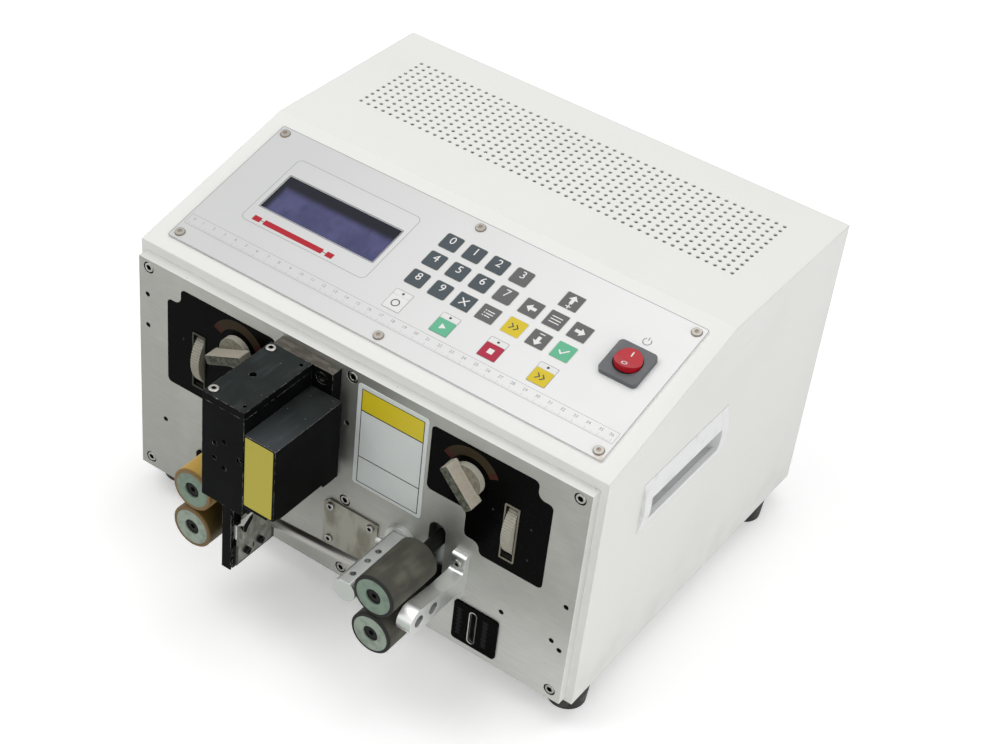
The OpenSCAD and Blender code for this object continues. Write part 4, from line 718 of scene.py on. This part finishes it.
KEY_W = 14.3
KEY_COLUMNS = (-9, 11, 31, 51.25, 73, 93, 113)
KEY_ROWS = (114.5, 94.75, 74.5)
KEY_FACES = (("0", "1", "2", "3", None, "up", None), ("4", "5", "6", "7", "left", "bars", "right"),
             ("8", "9", "clear", "list", "chevrons", "down", "check"))
ARROW_TURNS = {"up": 0, "left": math.pi / 2, "down": math.pi, "right": -math.pi / 2}
LOW_KEYS = ((-8.25, 4, "ring", 1), (32, 1, "play", 0), (72, 2, "stop", 0), (112.5, 3, "chevrons", 1))
RULER_LEFT, RULER_END, RULER_LOW, RULER_TOP, RULER_ZERO = -182.5, 182.5, 27.5, 37.5, -179.9
LOW_KEYS_S, LOW_CAPS_S, LOW_EDGES_S = 48.25, 57.4, 50.8
SHEEN_KEYS_X = 50
RED_BARS_S = 58.6
RED_BARS = ((-143.75, -137), (-134, -80.75), (-77.5, -71.25))
RED_LINKS = ((-137, -134), (-80.75, -77.5))
CAP_COLUMNS, CAP_ROWS, CAP_R = (-178.5, 0, 178.5), (18.5, 137.25), 4.0
ROCKER_X, ROCKER_S, ROCKER_TILT, ROCKER_HALF, ROCKER_RISE = 155.5, 88, math.radians(10), 10.25, 4


def arrow(turn, size=8.0):
    """A block arrow: a triangle head on a short shaft, turned anticlockwise."""
    p = np.array([[-0.17, -0.5], [0.17, -0.5], [0.17, 0.0], [0.45, 0.0], [0.0, 0.5], [-0.45, 0.0],
                  [-0.17, 0.0]]) * size
    c, s = math.cos(turn), math.sin(turn)
    return p @ np.array([[c, s], [-s, c]])


def strokes(*lines):
    """Thick lines as four-cornered faces, each from (x0, y0, x1, y1, width): both ends pushed out by half
    the width, and the corners half the width to either side."""
    out = []
    for x0, y0, x1, y1, w in lines:
        d = np.array([x1 - x0, y1 - y0])
        u = d / np.hypot(*d)
        n = np.array([-u[1], u[0]]) * w / 2
        a, b = np.array([x0, y0]) - u * w / 2, np.array([x1, y1]) + u * w / 2
        out.append(np.array([a - n, b - n, b + n, a + n]))
    return out


SIGNS = {
    "clear": strokes((-2.6, -2.6, 2.6, 2.6, 1.0), (-2.6, 2.6, 2.6, -2.6, 1.0)),
    "bars": strokes(*((-3.8, y, 3.8, y, 0.8) for y in (2.6, 0, -2.6))),
    "list": strokes((-3.2, 2.4, -3.0, 2.4, 0.9), (-1.4, 2.4, 3.6, 2.4, 0.8), (-3.2, 0, -3.0, 0, 0.9),
                    (-1.4, 0, 3.6, 0, 0.8), (-3.2, -2.4, -3.0, -2.4, 0.9), (-1.4, -2.4, 2.2, -2.4, 0.8)),
    "chevrons": strokes(*((x, y, x + 2.2, 0, 0.9) for x in (-3.0, 0.8) for y in (-2.2, 2.2))),
    "check": strokes((-3.0, -0.2, -0.9, -2.3, 1.1), (-0.9, -2.3, 3.2, 2.2, 1.1)),
    "plus": strokes((-1.7, 0, 1.7, 0, 0.8), (0, -1.7, 0, 1.7, 0.8)),
    "minus": strokes((-1.7, 0, 1.7, 0, 0.8)),
    "play": [np.array([[-1.9, -2.6], [2.7, 0.0], [-1.9, 2.6]])],
    "stop": [bar(-2.2, -2.2, 2.2, 2.2)],
}


def keypad():
    """Slightly raised film keys: rounded squares in a grid, each with a cream outline, and with numbers,
    arrows and plain marks printed on top. The low row's keys each have a small cap with a dot over them."""
    pads, prints = [], []

    def sign(name, x, s, mark):
        for k, q in enumerate(SIGNS[name]):
            prints.append((*flat(q, on_slope, x, s, KEY_PRINT_H + 0.01 * k), mark))

    for s, row in zip(KEY_ROWS, KEY_FACES):
        for x, face in zip(KEY_COLUMNS, row):
            if face is None:
                continue
            r = 1.6 if face.isdigit() else 0.7
            # Keys in the four right columns take the slate colour with painted sheen.
            tone = {"chevrons": 3, "check": 1}.get(face, 0 if x < SHEEN_KEYS_X else 5)
            key, edge = round_box(KEY_W, KEY_W, r), round_box(KEY_W + 1, KEY_W + 1, r + 0.4)
            pads.append((*pad(key, on_slope, x, s, 0.3, 0.12, FILM_T), tone))
            prints.append((*band(edge, key, on_slope, x, s, PRINT_H), 2))
            if face.isdigit():
                prints.append((*numeral(face, 9.5, on_slope, x, s + 1.8, KEY_PRINT_H), 0))
            elif face in ARROW_TURNS:
                shift = {"up": 1.6, "down": -1.6}.get(face, 0.0)
                prints.append((*flat(arrow(ARROW_TURNS[face]), on_slope, x, s + shift, KEY_PRINT_H), 0))
                if shift:
                    sign("plus" if face == "up" else "minus", x, s - 3.1 * shift, 0)
            else:
                sign(face, x, s, 1 if tone == 3 else 0)
    for x, tone, name, mark in LOW_KEYS:
        pads.append((*pad(round_box(KEY_W, 13, 0.8), on_slope, x, LOW_KEYS_S, 0.3, 0.12, FILM_T), tone))
        pads.append((*pad(round_box(KEY_W, 4.75, 0.6), on_slope, x, LOW_CAPS_S, 0.25, 0.1, FILM_T), 4))
        edge, inner = round_box(KEY_W + 0.8, 18.9, 1.0), round_box(KEY_W, 18.1, 0.7)
        prints.append((*band(edge, inner, on_slope, x, LOW_EDGES_S, PRINT_H), 3))
        prints.append((*flat(circle(2.0, 16), on_slope, x, LOW_CAPS_S + 0.1, KEY_TOP), 1))
        if name == "ring":
            ring = band(circle(6.6), circle(5.0), on_slope, x, LOW_KEYS_S, KEY_PRINT_H)
            prints.append((*ring, mark))
        else:
            sign(name, x, LOW_KEYS_S, mark)
    piece("keypad", pads, [KEY_SLATE, KEY_GREEN, KEY_RED, KEY_YELLOW, KEY_WHITE, KEY_SLATE_SHEEN])
    piece("keypad_marks", prints, [INK_WHITE, INK_DARK, INK_CREAM, INK_GREY])


def ruler():
    """Printed scale: 36 steps of 10 mm with fine and half ticks, numbers, and a thin frame."""
    line = 0.12
    parts = [flat(bar(RULER_LEFT, -line, RULER_END, line), on_slope, 0, s, PRINT_H)
             for s in (RULER_LOW, RULER_TOP)]
    parts += [flat(bar(-line, RULER_LOW, line, RULER_TOP), on_slope, x, 0, PRINT_H)
              for x in (RULER_LEFT, RULER_END)]
    for n in range(361):
        size = 3.4 if n % 10 == 0 else 2.4 if n % 5 == 0 else 1.5
        half = 0.08 if n % 10 == 0 else 0.05
        parts.append(flat(bar(-half, 0, half, size), on_slope, RULER_ZERO + n, RULER_LOW, PRINT_H))
    for n in range(37):
        inwards = {0: 1.9, 36: -1.9}.get(n, 0)
        parts.append(numeral(str(n), 3.6, on_slope, RULER_ZERO + 10 * n + inwards, 34.0, PRINT_H))
    piece("ruler_print", parts, [INK_GREY])


def display_print():
    """Thin rounded frame round the display, a bevelled rim at its window, and three red bars joined by
    short lines."""
    w, h, window_w, window_h = 112.5, 69.25, 102.4, 35.4
    outer, inner = round_box(w, h, 5, 8), round_box(w - 0.8, h - 0.8, 4.6, 8)
    bevel, window = round_box(window_w + 1.8, window_h + 1.8, 1.2), round_box(window_w, window_h, 0.4)
    parts = [(*band(outer, inner, on_slope, -96.25, 87.9, PRINT_H), 0),
             (*band(bevel, window, on_slope, -96, 87.5, PRINT_H), 0)]
    for spans, height, r, mark in ((RED_BARS, 4.75, 0.3, 1), (RED_LINKS, 0.6, 0.1, 2)):
        for a, b in spans:
            parts.append((*flat(round_box(b - a, height, r, 2), on_slope, (a + b) / 2, RED_BARS_S,
                                PRINT_H), mark))
    piece("display_print", parts, [INK_GREY, INK_RED, INK_DARK])


def panel_rim():
    """The film's cut edge, seen as a thin grey line round the whole panel."""
    w, h = 370.0, 131.75
    edge, inner = round_box(w, h, 2.0, 6), round_box(w - 1, h - 1, 1.5, 6)
    piece("panel_rim", [band(edge, inner, on_slope, 0, 77.875, FILM_T + 0.02)], [INK_GREY])


def panel_caps():
    """Six tan domed screw caps. On a short upright wall stands a shallow dome, whose height falls with the
    square of its radius."""
    r = np.array([CAP_R, CAP_R, 3.8, 3.3, 2.4, 1.3, 0.3])
    h = np.append([0.0, 0.5], 0.6 + 1.0 * (1 - (r[2:] / CAP_R) ** 2))
    profile = np.stack([r, FILM_T + h], -1)
    parts = [turned(profile, on_slope, x, s) for x in CAP_COLUMNS for s in CAP_ROWS]
    piece("panel_caps", parts, [CAP_TAN], smooth=True)


def rocker_marks():
    """Line and ring on the rocker's two slopes. The rocker's top is a shallow V, whose height rises by two
    thirds of ROCKER_RISE from its middle to its ends, turned by ROCKER_TILT about its axle."""
    axle, top = FILM_T + 2.4, FILM_T + 4

    def on_rocker(x, u, lift):
        x, u, lift = np.broadcast_arrays(np.asarray(x, float), u, lift)
        low = ROCKER_RISE / 3
        w = top + low + (ROCKER_RISE - low) * np.abs(u) / ROCKER_HALF + lift - axle
        c, s = math.cos(ROCKER_TILT), math.sin(ROCKER_TILT)
        return on_slope(ROCKER_X + x, ROCKER_S + u * c + w * s, axle - u * s + w * c)

    parts = [flat(bar(-0.45, -1.9, 0.45, 1.9), on_rocker, 0, 5.2, 0.06),
             band(circle(4.2), circle(2.8), on_rocker, 0, -5.2, 0.06)]
    piece("rocker_marks", parts, [INK_WHITE], body="rocker")


def power_sign():
    """A plain ring, open at the top, with a bar in the gap."""
    x, s = 155, 112.5
    parts = [arc_band(125, 415, 3.4, 2.6, 30, on_slope, x, s, PRINT_H),
             flat(strokes((0, 1.6, 0, 3.6, 0.8))[0], on_slope, x, s, PRINT_H)]
    piece("power_sign", parts, [INK_GREY])


keypad()
ruler()
display_print()
panel_rim()
panel_caps()
rocker_marks()
power_sign()


# Prints, labels and screws of the front, the cutter head and the back

LABEL_YELLOW = ink("label_yellow", (0.50, 0.43, 0.05), 0.4)
PLACARD_WHITE = ink("placard_white", (0.72, 0.76, 0.74), 0.35)
PLACARD_YELLOW = ink("placard_yellow", (0.72, 0.58, 0.02), 0.35)
ARC_BROWN = ink("arc_brown", (0.040, 0.029, 0.016), 0.35, 0.03)
ARC_RED = ink("arc_red", (0.055, 0.017, 0.012), 0.35, 0.03)
INK_BLACK = ink("ink_black", (0.006, 0.006, 0.006), 0.4, 0.1)
FRAME_BEIGE = ink("frame_beige", (0.22, 0.20, 0.155), 0.45)
# The left window's frame: the beige frame's colour with painted shade.
FRAME_SHADED = ink("frame_shaded", (0.070, 0.072, 0.058), 0.45, 0.15)
FAINT_GREY = ink("faint_grey", (0.040, 0.041, 0.040), 0.35, 0.03)
# Painted shade: near black in screw sockets and in the shadow under the blades' glint.
SOCKET_SHADE = ink("socket_shade", (0.003, 0.003, 0.003), 0.6, 0.03)
# Painted highlight: the glint on the blades' polished bevels.
POLISHED_GLINT = ink("polished", (0.60, 0.61, 0.59), 0.35, 0.5)
EDGE_SILVER = milled("edge_silver", (0.55, 0.55, 0.54), 0.3, 0.3)
# The index slots' cut edge on its right: the silver edge with painted shade.
EDGE_SHADED = milled("edge_shaded", (0.10, 0.10, 0.095), 0.4, 0.3)

KNOB_X, KNOB_Z, WHEEL_X, WHEEL_Z = 100.8, 160.3, 136.6, 131.2
INDEX_X, INDEX_Z = 117.5, 29


def placard():
    """Plain white plate with a yellow band, a thin dark border and two thin lines across."""
    plate = pad(round_box(59.5, 89.5, 2.5, 6), on_plate, 35.25, 145.25, 0.5, 0.15)
    piece("placard", [plate], [PLACARD_WHITE])
    x, w, h = 35.6, 52.2, 0.56
    parts = [(*flat(round_box(w, 18.2, 0.2, 2), on_plate, x, 177.1, h), 0),
             (*band(round_box(53.0, 83.1, 0.3, 2), round_box(51.8, 81.9, 0.3, 2), on_plate,
                    x, 145, h + 0.01), 1),
             (*flat(round_box(w, 0.9, 0.1, 2), on_plate, x, 168, h + 0.01), 1),
             (*flat(round_box(w, 0.7, 0.1, 2), on_plate, x, 126.75, h + 0.01), 1)]
    piece("placard_print", parts, [PLACARD_YELLOW, INK_BLACK])


def cover_label():
    """Plain yellow film on the safety cover's front."""
    film = pad(round_box(24, 60, 0.6, 3), on_cover, -14.2, 143.75, 0.12, 0.05)
    piece("cover_label", [film], [LABEL_YELLOW])


def window_prints():
    """On each black window: a plain brown arc over the knob, reddish at its ends, three small marks, and a
    thin raised frame round the wheel's slot."""
    reddish = 3
    slot, inner = round_box(11.8, 48.8, 0.6, 3), round_box(9.9, 46.9, 0.4, 3)
    parts = []
    for side in (-1, 1):
        pts, faces = arc_band(25, 155, 24.6, 17, 33, on_plate, side * KNOB_X, KNOB_Z, 0.05)
        parts += [(pts, faces[reddish:-reddish], 0), (pts, faces[:reddish] + faces[-reddish:], 3)]
        # The left window's frame takes the beige with painted shade.
        frame_tone = 1 if side > 0 else 4
        parts.append((*rim(slot, inner, on_plate, side * WHEEL_X, WHEEL_Z, 0.8), frame_tone))
        for dx, dz, up in ((-15, 13.3, 1), (16, 13.3, 1), (16, -15, -1)):
            tri = np.array([[-1.1, -1.0], [1.1, -1.0], [0, 1.1]]) * [1, up]
            parts.append((*flat(tri[::up], on_plate, side * WHEEL_X + dx, WHEEL_Z + dz, 0.04), 2))
    piece("window_prints", parts, [ARC_BROWN, FRAME_BEIGE, FAINT_GREY, ARC_RED, FRAME_SHADED])


def index_prints():
    """On each index plate: a bright cut edge round the slot, dimmer on its right with painted shade, and
    faint scale ticks beside it."""
    slot, inner = round_box(6.6, 30.6, 3.2, 8), round_box(5.2, 29.2, 2.6, 8)
    ticks, step = 19, 1.35
    parts = []
    for side in (-1, 1):
        x = side * INDEX_X
        p, f = rim(slot, inner, on_plate, x, INDEX_Z, 0.35, 1.2)
        # The rim's right side takes the silver with painted shade.
        right = [g for g in f if np.mean(p[g, 0]) > x + 1.5]
        parts += [(p, [g for g in f if g not in right], 0), (p, right, 1)]
        for k in range(ticks):
            z = INDEX_Z + step * (k - ticks // 2)
            for dx, w in ((-11.5, 3.2 if k % 3 else 5.0), (10.5, 3.0 if k % 3 == 1 else 4.4)):
                parts.append((*flat(round_box(w, 0.5, 0.1, 2), on_plate, x + dx, z, 1.25), 2))
    piece("index_prints", parts, [EDGE_SILVER, EDGE_SHADED, FAINT_GREY])


def blade_marks():
    """The polished slope that runs from the lower blade's corner over the upper blade's edge and face,
    painted bright as a glint, and a tooth of painted shadow under it."""
    # slope and corner: the polished bevel's glint, painted bright; tooth: painted shadow under it.
    slope = [[-78.9, 83.2], [-76.9, 84.9], [-73.4, 87.1], [-69.6, 88.8], [-70.9, 90.6], [-75.3, 90.7],
             [-78.9, 90.4]]
    tooth = [[-78.9, 77.4], [-76.3, 75.3], [-74.2, 78.9], [-69.4, 84.3], [-69.6, 88.8], [-73.4, 87.1],
             [-76.9, 84.9], [-78.9, 83.2]]
    slope_glint_edge = [[-35.9, 81.6], [-33.35, 82.6], [-33.35, 90.4], [-34.5, 88.7], [-35.9, 86.6]]
    tooth_shadow_edge = [[-35.9, 79.6], [-33.35, 77.4], [-33.35, 82.6], [-35.9, 81.6]]
    corner = [[-82.8, 83.9], [-79.1, 81.2], [-79.1, 83.9]]
    over = 0.03
    parts = [(*flat(np.array(a), place, 0, 0, over), mark) for a, place, mark in (
        (slope, on_upper_blade, 0), (tooth, on_upper_blade, 1),
        (slope_glint_edge, on_blade_edge, 0), (tooth_shadow_edge, on_blade_edge, 1))]
    piece("upper_blade_glint_and_shadow", parts, [POLISHED_GLINT, SOCKET_SHADE], body="upper_knife")
    part = flat(np.array(corner), on_lower_blade, 0, 0, over)
    piece("lower_blade_corner_glint", [part], [POLISHED_GLINT], body="lower_knife")


def screw_head(place, x, y, head, height, socket, low, n=24):
    """A socket screw's head as rings of n points: straight up to 0.6 of its height, then rounded in to 0.8
    of its radius, a flat top, and the socket's wall and bottom. The socket's rings follow a hexagon: half
    its width over cos(t - 30 degrees) in each sixth. Faces of the socket have the mark 1, for painted
    shade."""
    t = np.arange(n) * 2 * np.pi / n
    six = socket * math.cos(math.pi / 6) / np.cos(t % (np.pi / 3) - np.pi / 6)
    one = np.ones(n)
    rings = [(0.05 * one, 0.0), (head * one, 0.0), (head * one, 0.6 * height),
             (head * 0.93 * one, 0.88 * height), (head * 0.8 * one, height), (six * 1.08, height),
             (six, 0.9 * height), (six, 0.2 * height), (0.05 * one, 0.2 * height)]
    pts = np.concatenate([place(x + r * np.cos(t), y + r * np.sin(t), low + h) for r, h in rings])
    socket_from = 6
    marks = (np.repeat(np.arange(len(rings) - 1), n) >= socket_from).astype(int)
    return pts, walls(len(rings), n), marks


def front_screw_heads():
    """The heads of all the screws on the front: seven in the plate's counterbores, four on the access
    plate, two on the cutter's top plate, one on the outlet bracket, two black ones in the mount block."""
    plate = [(x, z) for x in (-184.5, 0, 184.5) for z in (12.5, 191.0)] + [(0, 78.7)]
    access = [(x, z) for x in (-10.8, 25) for z in (36.7, 67.6)]
    heads = [screw_head(on_plate, x, z, 4.25, 5.0, 2.3, -5.0) for x, z in plate]
    heads += [screw_head(on_plate, x, z, 3.25, 1.6, 1.7, 1.5) for x, z in access]
    heads += [screw_head(on_lid, -58.4, y, 3.75, 1.6, 1.9, 0.0) for y in (-82.6, -24.6)]
    heads.append(screw_head(on_plate, 102.55, 86, 3.75, 1.6, 1.9, 5.7))
    for z in (103.0, 186.0):
        p, f, _ = screw_head(on_plate, -18.7, z, 5.0, 5.0, 2.6, 4.7)
        heads.append((p, f, 2))
    # The sockets get painted shade; the mount block's two screws are black oxide.
    tones = [FINISHES["plain_steel"], SOCKET_SHADE, FINISHES["black_oxide"]]
    o = piece("front_screw_heads", heads, tones)
    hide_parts("front_screws")


def rear_screw_heads():
    """Socket screws on the back: four at the panel's corners and four at the fan's."""
    places = [(x, z) for x in (-186, 186) for z in (12, 231)]
    half = FAN_PITCH / 2
    places += [(FAN_X + x, FAN_Z + z) for x in (-half, half) for z in (-half, half)]
    heads = [screw_head(on_back, -x, z, 3.4, 1.8, 1.7, 0.0) for x, z in places]
    piece("rear_screw_heads", heads, [FINISHES["plain_steel"], SOCKET_SHADE])


placard()
cover_label()
window_prints()
index_prints()
blade_marks()
front_screw_heads()
rear_screw_heads()

bpy.context.scene.view_settings.view_transform = "Standard"
